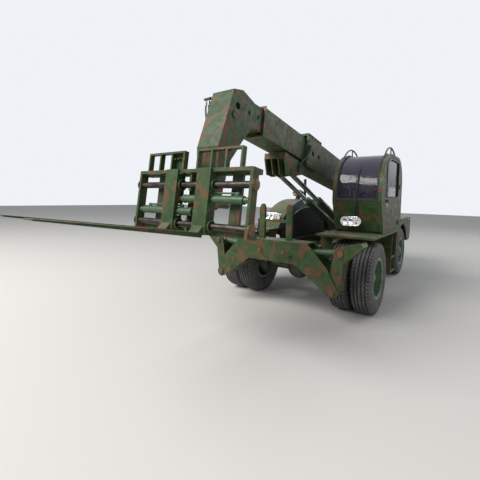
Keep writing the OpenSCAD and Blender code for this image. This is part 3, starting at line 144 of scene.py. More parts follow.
floor_mesh = bpy.data.meshes.new("floor")
floor_bm = bmesh.new()
bmesh.ops.create_grid(floor_bm, x_segments=1, y_segments=1, size=45)
floor_bm.to_mesh(floor_mesh)
floor = bpy.data.objects.new("floor", floor_mesh)
bpy.context.scene.collection.objects.link(floor)
floor_paint = bpy.data.materials.new("floor")
floor_paint.use_nodes = True
floor_bsdf = floor_paint.node_tree.nodes["Principled BSDF"]
floor_bsdf.inputs["Base Color"].default_value = (0.74, 0.72, 0.69, 1)
floor_bsdf.inputs["Roughness"].default_value = 0.9
floor_mesh.materials.append(floor_paint)

# %% [markdown]
# Every finish below is a small graph of nodes that starts from Object coordinates, which are metres in
# the machine's own frame here. So one noise scale means the same on a fork and on the counterweight,
# and a pattern runs on from one plate to the next as sprayed paint does. The helper class keeps such
# graphs short to write.


# %% A helper for materials
class Finish:
    """A material on one Principled shader, with short calls for the nodes used here."""

    def __init__(self, name, roughness=0.5, metallic=0.0):
        self.material = bpy.data.materials.new(name)
        self.material.use_nodes = True
        self.tree = self.material.node_tree
        self.bsdf = self.tree.nodes["Principled BSDF"]
        self.bsdf.inputs["Roughness"].default_value = roughness
        self.bsdf.inputs["Metallic"].default_value = metallic
        self.place = self.tree.nodes.new("ShaderNodeTexCoord").outputs["Object"]

    def add(self, kind, **inputs):
        node = self.tree.nodes.new("ShaderNode" + kind)
        for key, value in inputs.items():
            self.set(node, key.replace("_", " "), value)
        return node

    def set(self, node, key, value):
        socket = node.inputs[int(key) if key.isdigit() else key]
        if isinstance(value, bpy.types.NodeSocket):
            self.tree.links.new(value, socket)
        else:
            socket.default_value = value

    def math(self, operation, a, b=0.0):
        node = self.tree.nodes.new("ShaderNodeMath")
        node.operation = operation
        self.set(node, "0", a)
        self.set(node, "1", b)
        return node.outputs[0]

    def stretched(self, turn, scale):
        """Object coordinates, turned and scaled, for a pattern that runs one way."""
        node = self.tree.nodes.new("ShaderNodeMapping")
        self.set(node, "Vector", self.place)
        node.inputs["Rotation"].default_value = turn
        node.inputs["Scale"].default_value = scale
        return node.outputs[0]

    def slanted(self, turn, size):
        """Object coordinates in steps of size, in metres, along axes that are turned first."""
        node = self.tree.nodes.new("ShaderNodeMapping")
        node.vector_type = "TEXTURE"
        self.set(node, "Vector", self.place)
        node.inputs["Rotation"].default_value = turn
        node.inputs["Scale"].default_value = size
        return node.outputs[0]

    def noise(self, scale, detail=2.0, rough=0.5, distortion=0.0, at=None):
        return self.add("TexNoise", Vector=at or self.place, Scale=scale, Detail=detail,
                        Roughness=rough, Distortion=distortion).outputs["Fac"]

    def ramp(self, value, low, high, start=0.0, end=1.0):
        """value mapped from low..high to start..end, clamped at both ends and eased between."""
        node = self.tree.nodes.new("ShaderNodeMapRange")
        node.interpolation_type = "SMOOTHSTEP"
        self.set(node, "Value", value)
        node.inputs["From Min"].default_value = low
        node.inputs["From Max"].default_value = high
        node.inputs["To Min"].default_value = start
        node.inputs["To Max"].default_value = end
        return node.outputs["Result"]

    def mix(self, amount, first, second):
        node = self.tree.nodes.new("ShaderNodeMix")
        node.data_type = "RGBA"
        self.set(node, "0", amount)
        for index, colour in ((6, first), (7, second)):
            if isinstance(colour, bpy.types.NodeSocket):
                self.tree.links.new(colour, node.inputs[index])
            else:
                node.inputs[index].default_value = (*colour, 1)
        return node.outputs[2]

    def height(self, source=None):
        """Z above the ground in metres, or the Z of another vector."""
        node = self.tree.nodes.new("ShaderNodeSeparateXYZ")
        self.set(node, "Vector", source or self.place)
        return node.outputs["Z"]

    def facing_up(self, low=0.55, high=0.95):
        """1 on faces that look up and 0 on walls, from the piece's own normal."""
        normal = self.tree.nodes.new("ShaderNodeTexCoord").outputs["Normal"]
        return self.ramp(self.height(normal), low, high)

    def edges(self, radius):
        """1 on sharp edges and 0 on flats, from how far a bevelled normal leans from the plain one."""
        bevel = self.tree.nodes.new("ShaderNodeBevel")
        bevel.samples = 4
        bevel.inputs["Radius"].default_value = radius
        plain = self.tree.nodes.new("ShaderNodeNewGeometry")
        dot = self.tree.nodes.new("ShaderNodeVectorMath")
        dot.operation = "DOT_PRODUCT"
        self.tree.links.new(bevel.outputs[0], dot.inputs[0])
        self.tree.links.new(plain.outputs["Normal"], dot.inputs[1])
        return self.ramp(dot.outputs["Value"], 0.99, 0.86)

    def finish(self, colour, roughness=None, bump=None, bump_depth=0.002, bump_strength=0.5):
        self.set(self.bsdf, "Base Color", colour if isinstance(colour, bpy.types.NodeSocket)
                 else (*colour, 1))
        if roughness is not None:
            self.set(self.bsdf, "Roughness", roughness)
        if bump is not None:
            node = self.add("Bump", Height=bump, Strength=bump_strength, Distance=bump_depth)
            self.tree.links.new(node.outputs[0], self.bsdf.inputs["Normal"])
        return self.material


# %% [markdown]
# Camouflage paint is sprayed in two goes: olive green all over, then brick brown strokes, soft at
# their rims because the gun is held away from the plate. Noise that is stretched along a slanted line
# and cut at a threshold gives such strokes, and two layers lean opposite ways, as the sprayer's arm
# does. Weather adds a pale bloom on the upper faces, dust near the ground and bare primer where edges
# are knocked.

# %% Camouflage paint
olive = (0.027, 0.054, 0.018)
olive_light = (0.048, 0.086, 0.032)
brick = (0.122, 0.058, 0.028)
dust = (0.17, 0.15, 0.11)
bloom = (0.180, 0.190, 0.125)
primer = (0.13, 0.15, 0.09)

# Lengths of one stroke across, through and along, in metres, and the two ways that strokes lean
stroke_size = (0.112, 0.112, 0.32)
stroke_rise = (math.radians(-31), math.radians(38), 0)
stroke_fall = (math.radians(24), math.radians(-42), math.radians(15))


def camouflage_paint(name, green, pale_green, brown, gloss, cover=0.600):
    """Strokes show where the noise is above cover, so a higher cover leaves fewer of them."""
    f = Finish(name, roughness=gloss)
    f.bsdf.inputs["Specular IOR Level"].default_value = 0.22
    rising = f.noise(1.0, 1.0, 0.35, 0.25, at=f.slanted(stroke_rise, stroke_size))
    falling = f.noise(1.0, 1.0, 0.35, 0.25, at=f.slanted(stroke_fall, stroke_size))
    stroke_mask = f.ramp(f.math("MAXIMUM", rising, falling), cover, cover + 0.022)
    mottle = f.noise(9.0, 5.0, 0.6)
    base = f.mix(f.ramp(mottle, 0.35, 0.7), green, pale_green)
    painted = f.mix(f.math("MULTIPLY", stroke_mask, 0.85), base, brown)
    worn = f.mix(f.math("MULTIPLY", f.edges(0.010), f.ramp(f.noise(26, 3), 0.42, 0.62, 0.15, 0.75)),
                 painted, primer)
    low = f.math("MULTIPLY", f.ramp(f.height(), 1.15, 0.35), f.ramp(f.noise(5.5, 4, 0.65), 0.35, 0.7))
    settled = f.math("MULTIPLY", f.facing_up(), f.ramp(f.noise(3.2, 4, 0.6), 0.32, 0.68, 0.42, 0.78))
    dusty = f.mix(settled, f.mix(f.math("MULTIPLY", low, 0.45), worn, dust), bloom)
    rough = f.ramp(f.noise(14, 4), 0.3, 0.7, gloss - 0.08, gloss + 0.12)
    return f.finish(dusty, rough, f.noise(160, 3), 0.0006, 0.35)


camouflage = camouflage_paint("camouflage_paint", olive, olive_light, brick, 0.44)
print("camouflage strokes over", [tuple(round(c, 3) for c in olive), tuple(round(c, 3) for c in brick)])

# %% [markdown]
# The other paints and metals are plainer. Cylinders and small fittings carry one coat of green, axles
# are almost black with road dirt, and the rims are a lighter green with rust-brown dust in the dish.
# Rods are hard chrome with fine rings of oil, while guide shafts are dark with old grease.


# %% Plain paints and metals
def one_colour(name, colour, pale, roughness=0.45, metallic=0.0, scale=12.0, dirt=0.35, low_z=0.2,
               high_z=0.9, edge=0.35):
    """One coat of paint: paler in patches and on edges, and dusty from high_z down to low_z."""
    f = Finish(name, roughness, metallic)
    base = f.mix(f.ramp(f.noise(scale, 4, 0.6), 0.35, 0.7), colour, pale)
    edged = f.mix(f.math("MULTIPLY", f.edges(0.006), edge), base, tuple(min(1, 2.2 * c) for c in pale))
    grime = f.math("MULTIPLY", f.ramp(f.height(), high_z, low_z), f.ramp(f.noise(7, 4, 0.65), 0.35, 0.7))
    dirty = f.mix(f.math("MULTIPLY", grime, dirt), edged, dust)
    rough = f.ramp(f.noise(18, 3), 0.3, 0.7, max(0.05, roughness - 0.08), roughness + 0.12)
    return f.finish(dirty, rough, f.noise(140, 2), 0.0006, 0.3)


plain_green = one_colour("plain_green_paint", (0.024, 0.068, 0.024), (0.042, 0.096, 0.040))
dark_paint = one_colour("axle_paint", (0.014, 0.018, 0.010), (0.030, 0.034, 0.020), 0.6, dirt=0.5)
rim_paint = one_colour("rim_paint", (0.105, 0.190, 0.115), (0.165, 0.265, 0.165), 0.27, dirt=0.35,
                       low_z=0.1, high_z=1.1)
engine_black = one_colour("engine_black", (0.012, 0.012, 0.012), (0.03, 0.03, 0.028), 0.5, 0.3)
black_trim = one_colour("black_trim", (0.010, 0.010, 0.011), (0.022, 0.022, 0.022), 0.42, dirt=0.1)
zinc = one_colour("zinc_fastener", (0.35, 0.34, 0.30), (0.55, 0.53, 0.47), 0.35, 0.9, 40)


def ringed_steel(name, colour, stain, roughness, stain_amount):
    """Steel with stains drawn out along X: rings on the lift rods, streaks on the guide shafts."""
    f = Finish(name, roughness, 1.0)
    streak = f.noise(30, 4, 0.6, at=f.stretched((0, 0, 0), (0.25, 1.0, 1.0)))
    tone = f.mix(f.math("MULTIPLY", f.ramp(streak, 0.38, 0.66), stain_amount), colour, stain)
    rough = f.ramp(f.noise(45, 3), 0.3, 0.7, roughness, roughness + 0.16)
    return f.finish(tone, rough, f.noise(300, 2), 0.0003, 0.2)


greased_steel = ringed_steel("greased_shaft", (0.070, 0.062, 0.055), (0.024, 0.019, 0.015), 0.40, 0.85)
rod_chrome = ringed_steel("rod_chrome", (0.78, 0.79, 0.80), (0.42, 0.40, 0.36), 0.10, 0.35)
lamp_chrome = ringed_steel("lamp_chrome", (0.86, 0.87, 0.90), (0.60, 0.62, 0.66), 0.08, 0.3)
print("paints and metals:", len(bpy.data.materials))

# %% [markdown]
# Rubber is never black in daylight: it is a warm grey, paler where dust lies in the tread and darker
# where the road polishes it. The cab's screen is tinted violet and almost opaque overhead, so its
# alpha falls from the roof to the sill.


# %% Rubber, glass, vinyl and lenses
def rubber_finish(name, colour, dusty_colour, roughness=0.8):
    """Rubber with dust in broad patches and in its grain."""
    f = Finish(name, roughness)
    patch = f.ramp(f.noise(6, 5, 0.65), 0.35, 0.7)
    grain = f.ramp(f.noise(60, 4, 0.7), 0.4, 0.75)
    tone = f.mix(f.math("MULTIPLY", f.math("ADD", patch, grain), 0.42), colour, dusty_colour)
    return f.finish(tone, f.ramp(grain, 0, 1, roughness - 0.1, roughness + 0.08), f.noise(220, 3),
                    0.0008, 0.4)


tyre_rubber = rubber_finish("tyre_rubber", (0.056, 0.056, 0.056), (0.165, 0.162, 0.156))
# Painted shade: a near-black rubber for the floors of grooves and notches, where little light reaches
groove_shade_rubber = rubber_finish("groove_shade_rubber", (0.004, 0.004, 0.004), (0.014, 0.014, 0.013))
hose_rubber = rubber_finish("hose_rubber", (0.012, 0.012, 0.013), (0.045, 0.044, 0.042), 0.5)
seal_rubber = rubber_finish("seal_rubber", (0.010, 0.010, 0.011), (0.030, 0.030, 0.030), 0.55)


def tinted_glass(name, colour, low_alpha, high_alpha, low_z, high_z):
    """Smeared glass whose alpha rises from low_z to high_z."""
    f = Finish(name, 0.06)
    f.bsdf.inputs["Specular IOR Level"].default_value = 0.5
    smear = f.noise(3.5, 4, 0.6, 0.4)
    f.set(f.bsdf, "Alpha", f.ramp(f.height(), low_z, high_z, low_alpha, high_alpha))
    tone = f.mix(f.ramp(smear, 0.4, 0.75, 0, 0.35), colour, tuple(min(1, c * 2.2) for c in colour))
    return f.finish(tone, f.ramp(smear, 0.35, 0.75, 0.03, 0.14))


screen_glass = tinted_glass("screen_glass", (0.046, 0.042, 0.066), 0.34, 0.88, 1.90, 2.45)


def vinyl_finish(name, colour, pale):
    """Seat vinyl with a fine leather grain."""
    f = Finish(name, 0.5)
    grain = f.add("TexVoronoi", Vector=f.place, Scale=420.0).outputs["Distance"]
    tone = f.mix(f.ramp(f.noise(10, 4), 0.35, 0.7), colour, pale)
    return f.finish(tone, f.ramp(f.noise(25, 3), 0.3, 0.7, 0.4, 0.6), grain, 0.0005, 0.4)


seat_vinyl = vinyl_finish("seat_vinyl", (0.016, 0.016, 0.018), (0.035, 0.035, 0.038))


def lens_finish(name, colour, bright, ribs):
    """A ribbed lamp lens or a clear moulded bowl."""
    f = Finish(name, 0.12)
    f.bsdf.inputs["Coat Weight"].default_value = 0.6
    wave = f.add("TexWave", Vector=f.place, Scale=ribs, Distortion=0.4, Detail=1.0).outputs["Fac"]
    return f.finish(f.mix(wave, colour, bright), 0.12, wave, 0.002, 0.4)


red_lens = lens_finish("red_lens", (0.42, 0.020, 0.014), (0.70, 0.05, 0.03), 40)
amber_lens = lens_finish("amber_lens", (0.75, 0.22, 0.03), (0.95, 0.42, 0.08), 40)
print("finishes so far:", len(bpy.data.materials))

# %% [markdown]
# Each CAD solid already knows its material slot from the part's record, so the finishes go on by slot,
# and a solid that is added to the record later is dressed without a change here.

# %% Dress the CAD solids
finish_of_slot = {
    "camouflage": camouflage, "plain_green": plain_green, "dark_paint": dark_paint,
    "rim_paint": rim_paint, "engine_iron": engine_black, "tyre": tyre_rubber,
    "shaft_steel": greased_steel, "rod_chrome": rod_chrome, "cab_glass": screen_glass,
    "black_trim": black_trim, "seat_vinyl": seat_vinyl, "lamp_clear": lamp_chrome, "lamp_red": red_lens,
}
slot_of_node = {part["node"]: part["material_slot"] for part in frame["record"]["subparts"]}
for node_name, node in nodes.items():
    node.data.materials.clear()
    node.data.materials.append(finish_of_slot[slot_of_node[node_name]])
print("dressed", len(slot_of_node), "solids in", len(finish_of_slot), "finishes")

# %% [markdown]
# Small hardware comes from a few shapes: things turned on a lathe, sawn blocks with broken edges, plates
# cut to an outline and hexagon bolts. Each helper builds its shape at the origin with its own Z as the
# axis. Turned things are a half outline that is spun, which gives true rings with few points.

# %% Turned shapes
def lathe(points, steps=48, closed=False):
    """A form turned about Z from (radius, height) points; ends at radius 0 close it."""
    bm = bmesh.new()
    line = [bm.verts.new((radius, 0, height)) for radius, height in points]
    pairs = list(zip(line, line[1:])) + ([(line[-1], line[0])] if closed else [])
    edges = [bm.edges.new(pair) for pair in pairs]
    bmesh.ops.spin(bm, geom=line + edges, cent=(0, 0, 0), axis=(0, 0, 1), angle=2 * math.pi,
                   steps=steps, use_merge=True)
    bmesh.ops.remove_doubles(bm, verts=bm.verts, dist=1e-6)
    bmesh.ops.recalc_face_normals(bm, faces=bm.faces)
    return bm


# %% [markdown]
# Blocks and plates are sawn or cut, and nobody leaves a cut edge sharp. A small bevel on every edge
# catches a thin line of light, which tells the eye how big and how hard the piece is.

# %% Blocks and plates with broken edges
def break_edges(bm, width, segments=2):
    """Bevels every edge by width, as a file or a press does."""
    bmesh.ops.bevel(bm, geom=bm.edges[:], offset=width, offset_type="OFFSET", segments=segments,
                    profile=0.5, affect="EDGES", material=-1)
    return bm


def block(low, high, edge=0.002):
    """A box between two corners with its edges broken."""
    bm = bmesh.new()
    bmesh.ops.create_cube(bm, size=1)
    low, high = Vector(low), Vector(high)
    bmesh.ops.scale(bm, vec=high - low, verts=bm.verts)
    bmesh.ops.translate(bm, vec=(low + high) / 2, verts=bm.verts)
    return break_edges(bm, edge) if edge else bm


def plate(outline, thick, edge=0.0):
    """A flat plate: an outline in (x, y) raised to thick along Z."""
    bm = bmesh.new()
    face = bm.faces.new([bm.verts.new((x, y, 0)) for x, y in outline])
    raised = bmesh.ops.extrude_face_region(bm, geom=[face])
    bmesh.ops.translate(bm, vec=(0, 0, thick),
                        verts=[v for v in raised["geom"] if isinstance(v, bmesh.types.BMVert)])
    bmesh.ops.recalc_face_normals(bm, faces=bm.faces)
    return break_edges(bm, edge, 1) if edge else bm


# %% [markdown]
# A bolt head is a six-sided cone whose two radii are the same, which makes a prism, with its upper rim
# bevelled and a turned washer under it. Its size across the flats sets every other size of it.

# %% Bolts
def bolt(across=0.024, washer=True):
    """A hexagon head on its washer, with the seat at the origin."""
    seat = 0.15 * across if washer else 0.0
    bm = lathe([(0, 0), (0.82 * across, 0), (0.82 * across, seat), (0, seat)], 20) if washer else bmesh.new()
    corner_r = across / 1.732
    head = bmesh.ops.create_cone(bm, cap_ends=True, segments=6, radius1=corner_r, radius2=corner_r,
                                 depth=0.6 * across)["verts"]
    bmesh.ops.translate(bm, vec=(0, 0, seat + 0.3 * across), verts=head)
    top = [e for e in bm.edges if all(v in head and v.co.z > seat + 0.5 * across for v in e.verts)]
    bmesh.ops.bevel(bm, geom=top, offset=0.08 * across, offset_type="OFFSET", segments=1, profile=0.5,
                    affect="EDGES", material=-1)
    return bm


# %% [markdown]
# A shape is placed by its seat: `aim` turns its own Z to the way that it faces and moves its origin to the
# spot, as one sets a bolt. Its place goes into the mesh, so each finished object stays at the origin.

# %% Placing and joining shapes
UP = Vector((0, 0, 1))


def aim(bm, place, direction=UP, turn=0.0):
    """Turns the shape's Z towards direction and moves its origin to place."""
    swing = UP.rotation_difference(Vector(direction)).to_matrix().to_4x4()
    bmesh.ops.transform(bm, matrix=Matrix.Translation(place) @ swing @ Matrix.Rotation(turn, 4, "Z"),
                        verts=bm.verts)
    return bm


def gather(shapes):
    """Several shapes as one bmesh."""
    whole = bmesh.new()
    for shape in shapes:
        mesh = bpy.data.meshes.new("part")
        shape.to_mesh(mesh)
        shape.free()
        whole.from_mesh(mesh)
        bpy.data.meshes.remove(mesh)
    return whole


def ring_of(count, radius, make, start=0.0):
    """count shapes on a circle about Z."""
    shapes = []
    for index in range(count):
        angle = start + 2 * math.pi * index / count
        shapes.append(aim(make(), (radius * math.cos(angle), radius * math.sin(angle), 0), turn=angle))
    return gather(shapes)


# %% [markdown]
# Every new piece ends the same way: a mesh with its finish, smooth faces with sharp real edges and one
# body that it rides on. One helper does it and counts the faces.

# %% Making the object
pieces = {}


def piece(name, bm, finish, body, sharp=35):
    """Makes the object, gives it its finish and lets it ride its body."""
    mesh = bpy.data.meshes.new(name)
    bm.to_mesh(mesh)
    bm.free()
    mesh.materials.append(finish)
    mesh.polygons.foreach_set("use_smooth", [True] * len(mesh.polygons))
    mesh.set_sharp_from_angle(angle=math.radians(sharp))
    obj = bpy.data.objects.new(name, mesh)
    bpy.context.scene.collection.objects.link(obj)
    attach(obj, body)
    pieces[name] = len(mesh.polygons)
    return obj


# %% [markdown]
# A road tyre for a truck has five ribs and four grooves across a slightly rounded crown, and a round
# shoulder that runs down into the sidewall and the bead. One half of that outline is written down, and
# the section is the half, the tread with its grooves, and the half again.

# %% Section of a tyre
tyre_r, tyre_half, rim_r = 0.5425, 0.150, 0.285
crown_drop, crown_half = 0.0075, 0.108
groove_at = (-0.078, -0.027, 0.027, 0.078)
groove_half, groove_deep = 0.0078, 0.0165
groove_lip, lip_wide, floor_share = 0.002, 0.001, 0.6


def crown(x):
    """The tread's radius at a distance x from the tyre's middle."""
    return tyre_r - crown_drop * (x / crown_half) ** 2


def tyre_section():
    """The closed outline of a tyre as (distance from its middle, radius)."""
    floor_half = floor_share * groove_half
    groove = [(-groove_half - lip_wide, 0), (-groove_half, groove_lip), (-floor_half, groove_deep),
              (floor_half, groove_deep), (groove_half, groove_lip), (groove_half + lip_wide, 0)]
    tread = [(at + step, crown(at + step) - deep) for at in groove_at for step, deep in groove]
    shoulder = [(0.104, crown(0.104)), (0.113, tyre_r - 0.0095), (0.124, tyre_r - 0.0185),
                (0.127, tyre_r - 0.026), (0.1375, tyre_r - 0.056), (0.1400, tyre_r - 0.060),
                (0.1465, tyre_r - 0.095), (0.1495, tyre_r - 0.130), (0.1475, tyre_r - 0.170),
                (0.1415, rim_r + 0.052), (0.1430, rim_r + 0.048), (0.1370, rim_r + 0.036),
                (0.1270, rim_r + 0.022), (0.1120, rim_r + 0.016), (0.1120, rim_r)]
    return [(-x, r) for x, r in reversed(shoulder)] + tread + shoulder


print("tyre section:", len(tyre_section()), "points")

# %% [markdown]
# The section is turned about the axle in many steps. Then the points beside each groove are pushed to
# and fro along the axle, which is what the mould's blades do, and every few steps a short notch is
# pressed into both shoulders. Real grooves catch the light from the side, so they are geometry and not
# bump. The floors of grooves and notches get a near-black rubber, which is painted shade where little
# light reaches; no dust reaches them either.

# %% Tread with zigzag grooves and notches
tread_steps = 480
ribs_half, ribs_down, shoulder_down = 0.1, 0.024, 0.020
zig, zig_steps = 0.0066, 8
notch_end, notch_deep, notch_steps, notch_wide = 0.126, 0.013, 8, 3


def tyre():
    """One tyre about the X axis, its middle at the origin."""
    bm = lathe([(radius, along) for along, radius in tyre_section()], tread_steps, closed=True)
    notched = set()
    for vert in bm.verts:
        radius, along = math.hypot(vert.co.x, vert.co.y), vert.co.z
        step = round(math.atan2(vert.co.y, vert.co.x) / (2 * math.pi) * tread_steps) % tread_steps
        if radius > tyre_r - ribs_down and abs(along) < ribs_half:
            wave = abs((step % zig_steps) / zig_steps - 0.5) * 4 - 1
            vert.co.z += zig * wave * (1 if along > 0 else -1)
        on_shoulder = ribs_half < abs(along) < notch_end and radius > tyre_r - shoulder_down
        if on_shoulder and step % notch_steps < notch_wide:
            notched.add(vert)
            scale = (radius - notch_deep) / radius
            vert.co.x, vert.co.y = vert.co.x * scale, vert.co.y * scale
    # Faces deep in a groove or notch take the second material, which is painted shade
    for face in bm.faces:
        deep = [vert for vert in face.verts if abs(vert.co.z) < ribs_half and
                crown(vert.co.z) - math.hypot(vert.co.x, vert.co.y) > 0.5 * groove_deep]
        face.material_index = 1 if len(deep) > 1 or all(vert in notched for vert in face.verts) else 0
    return aim(bm, (0, 0, 0), (1, 0, 0))


# %% [markdown]
# The front wheels carry twin tyres and the rear ones a single tyre, and each ribbed tyre replaces its
# plain CAD ring. Where they stand is read from those rings, so nothing has to be measured twice.

# %% Tyres in place of the plain rings
def at_axle(bm, node):
    """Moves a shape about the X axis to the middle of a wheel's node, which may be turned by steering."""
    low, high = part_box(node)
    return aim(bm, (0, (low.y + high.y) / 2, (low.z + high.z) / 2))


wheel_bodies = {"front_left": "front_left_wheels", "front_right": "front_right_wheels",
                "rear_left": "rear_left_wheel", "rear_right": "rear_right_wheel"}
plain_tyre = tyre()
for corner, wheel_body in wheel_bodies.items():
    tyre_node = corner + ("_tyres" if corner.startswith("front") else "_tyre")
    low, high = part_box(tyre_node)
    places = sorted({round(low.x + tyre_half, 4), round(high.x - tyre_half, 4)})
    rings = [aim(plain_tyre.copy(), (x, 0, 0)) for x in places]
    ribbed = piece(corner + "_ribbed_tyres", at_axle(gather(rings), tyre_node), tyre_rubber, wheel_body,
                   28)
    # The second material paints shade into the floors of the grooves and notches
    ribbed.data.materials.append(groove_shade_rubber)
    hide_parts(tyre_node)
    print(corner, "tyres at x", places, "faces", len(ribbed.data.polygons))

# %% [markdown]
# Rubber beads, steel pipes and wiper arms are all a round section run along a line. The line comes first:
# an arc where the real thing is bent round a former, and rounded corners where it turns from one straight
# into the next.

# %% Arcs and rounded corners
def arc(centre, radius, start, end, count):
    """Points in a plane on an arc, from start to end in degrees."""
    turns = [math.radians(start + (end - start) * k / (count - 1)) for k in range(count)]
    return [(centre[0] + radius * math.cos(a), centre[1] + radius * math.sin(a)) for a in turns]


def rounded(points, radius, count=5, closed=False):
    """The line with each corner replaced by a short curve."""
    points = [Vector(p) for p in points]
    out = [] if closed else [points[0]]
    last = len(points) if closed else len(points) - 1
    for k in range(0 if closed else 1, last):
        before, corner, after = points[k - 1], points[k], points[(k + 1) % len(points)]
        reach = min(radius, (corner - before).length * 0.49, (after - corner).length * 0.49)
        enter = corner + (before - corner).normalized() * reach
        leave = corner + (after - corner).normalized() * reach
        for step in range(count):
            t = step / (count - 1)
            out.append(enter.lerp(corner, t).lerp(corner.lerp(leave, t), t))
    return out if closed else out + [points[-1]]


# %% [markdown]
# The tube itself is a curve object with a round bevel. It stays a curve to the end, so a thicker pipe or
# another route is one changed value.

# %% Tubes
def tube(name, points, radius, finish, body, closed=False, sides=3):
    """A pipe, bead or rod of one radius along the points."""
    curve = bpy.data.curves.new(name, "CURVE")
    curve.dimensions = "3D"
    curve.bevel_depth = radius
    curve.bevel_resolution = sides
    curve.use_fill_caps = True
    spline = curve.splines.new("POLY")
    spline.points.add(len(points) - 1)
    for knot, point in zip(spline.points, points):
        knot.co = (*point, 1)
    spline.use_cyclic_u = closed
    spline.use_smooth = True
    curve.materials.append(finish)
    obj = bpy.data.objects.new(name, curve)
    bpy.context.scene.collection.objects.link(obj)
    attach(obj, body)
    pieces[name] = len(points)
    return obj


# %% [markdown]
# The boom's own frame is the easiest place to say where something sits on it: s metres out from the
# pivot, h metres above the boom's line and x across.

# %% Places on the boom
boom_pivot, boom_angle = Vector((0, 3.4, 1.93)), math.radians(8.6)
boom_out = Vector((0, -math.cos(boom_angle), math.sin(boom_angle)))
boom_up = Vector((0, math.sin(boom_angle), math.cos(boom_angle)))


def on_boom(x, s, h):
    """The place that is s out along the boom, h above its line and x across."""
    return boom_pivot + boom_out * s + boom_up * h + Vector((x, 0, 0))


print("boom's line rises", round(math.degrees(boom_angle), 1), "degrees")

# %% [markdown]
# A hydraulic hose is stiff: it leaves its fitting straight, bends in one slow curve and arrives straight.
# A single cubic curve with a lead at each end does the same. A crimped sleeve over a hexagon union nut
# closes each end.

# %% Soft lines and hose ends
def soft_line(start, leave, end, arrive, count=26):
    """Points on one curve that leaves start along one lead and arrives at end along the other."""
    start, end = Vector(start), Vector(end)
    knots = (start, start + Vector(leave), end - Vector(arrive), end)
    line = []
    for k in range(count):
        a, b = k / (count - 1), 1 - k / (count - 1)
        line.append(b ** 3 * knots[0] + 3 * b * b * a * knots[1] + 3 * b * a * a * knots[2] +
                    a ** 3 * knots[3])
    return line


def length_of(line):
    """The length of a line in metres, to the millimetre."""
    return round(sum((b - a).length for a, b in zip(line, line[1:])), 3)


def ferrule(radius):
    """A crimped end for a hose of this radius, with its union nut, rising from the seat."""
    nut = bmesh.new()
    bmesh.ops.create_cone(nut, cap_ends=True, segments=6, radius1=1.75 * radius, radius2=1.75 * radius,
                          depth=1.5 * radius)
    bmesh.ops.translate(nut, vec=(0, 0, 0.75 * radius), verts=nut.verts)
    sleeve_r, crimp_r = 1.35 * radius, 1.22 * radius
    sleeve = lathe([(0, 1.4 * radius), (sleeve_r, 1.4 * radius), (sleeve_r, 3.2 * radius),
                    (crimp_r, 3.3 * radius), (sleeve_r, 3.4 * radius), (sleeve_r, 4.6 * radius),
                    (0.9 * radius, 4.8 * radius), (0, 4.8 * radius)], 24)
    return gather([nut, sleeve])


# How far a hose's fitting stands back from the start of its free line
fitting_back = 0.012

# %% [markdown]
# Two hoses feed the tilt cylinder. They hang from a bar that stands out of the head's right side plate,
# swing in under their own weight and end in a manifold on the same plate. Each is a tube along the line
# it lies on, with a crimped fitting at each end, and its length is printed.

# %% Hoses at the head
head_hose_r = 0.011
bar_y, bar_z = -2.126, 2.906
hang_z, low_z = 2.868, 2.398
low_lead = (0.004, 0, -0.120)
head_routes = {
    "outer_head_hose": soft_line((-0.316, bar_y, hang_z), (-0.012, -0.012, -0.200),
                                 (-0.182, -2.215, low_z), low_lead),
    "inner_head_hose": soft_line((-0.268, bar_y, hang_z), (-0.008, -0.008, -0.200),
                                 (-0.182, -2.160, low_z), low_lead),
}
for name, route in head_routes.items():
    hose = tube(name, route, head_hose_r, hose_rubber, "boom_inner", sides=4)
    seats = (route[0] + fitting_back * UP, route[-1] - fitting_back * UP)
    top_end = piece(name + "_top_end", aim(ferrule(head_hose_r), seats[0], -UP), zinc, "boom_inner")
    low_end = piece(name + "_low_end", aim(ferrule(head_hose_r), seats[1]), zinc, "boom_inner")
print("hose lengths:", [length_of(route) for route in head_routes.values()])

# %% [markdown]
# The bar is a short square section with a bolt at its end. Beside it two bent pipes come down through
# the head's cover, each with its plug below, and the manifold for the lower ends is a bolted block.

# %% Hose bar, bent pipes and manifold at the head
bar_out = -0.332
hose_bar = block((bar_out, bar_y - 0.015, bar_z - 0.014), (-0.1555, bar_y + 0.015, bar_z + 0.014), 0.003)
bar_ends = [aim(bolt(0.020), (bar_out, bar_y, bar_z), (-1, 0, 0)),
            aim(bolt(0.020), (-0.240, bar_y - 0.015, bar_z), (0, -1, 0))]
piece("head_hose_bar", gather([hose_bar] + bar_ends), black_trim, "boom_inner")
elbow_xs, elbow_s = (-0.261, -0.201), 5.560
for number, x in enumerate(elbow_xs):
    seat = on_boom(x, elbow_s, 0.126)
    elbow = rounded([seat, seat + boom_up * 0.026, Vector((x, bar_y + 0.010, seat.z + 0.022))], 0.020, 6)
    tube("head_elbow_%d" % (number + 1), elbow, 0.0075, zinc, "boom_inner")
plugs = [aim(bolt(0.020, False), on_boom(x, elbow_s, 0.0612), -boom_up) for x in elbow_xs]
piece("head_bulkhead_plugs", gather(plugs), zinc, "boom_inner")

manifold_out = -0.206
manifold = gather([block((manifold_out, -2.242, 2.335), (-0.157, -2.134, 2.385), 0.004)] +
                  [aim(bolt(0.016), (manifold_out, y, 2.360), (-1, 0, 0)) for y in (-2.222, -2.154)])
piece("head_manifold", manifold, engine_black, "boom_inner")
print("at the head:", len(elbow_xs), "bent pipes, bar", round(-0.1555 - bar_out, 3), "m")

# %% [markdown]
# Every pane sits in a black rubber seal, which reads as a dark outline around the glass. The windscreen
# bends over with the roof, so its seal follows the cab's own profile: upright, then a long arc.

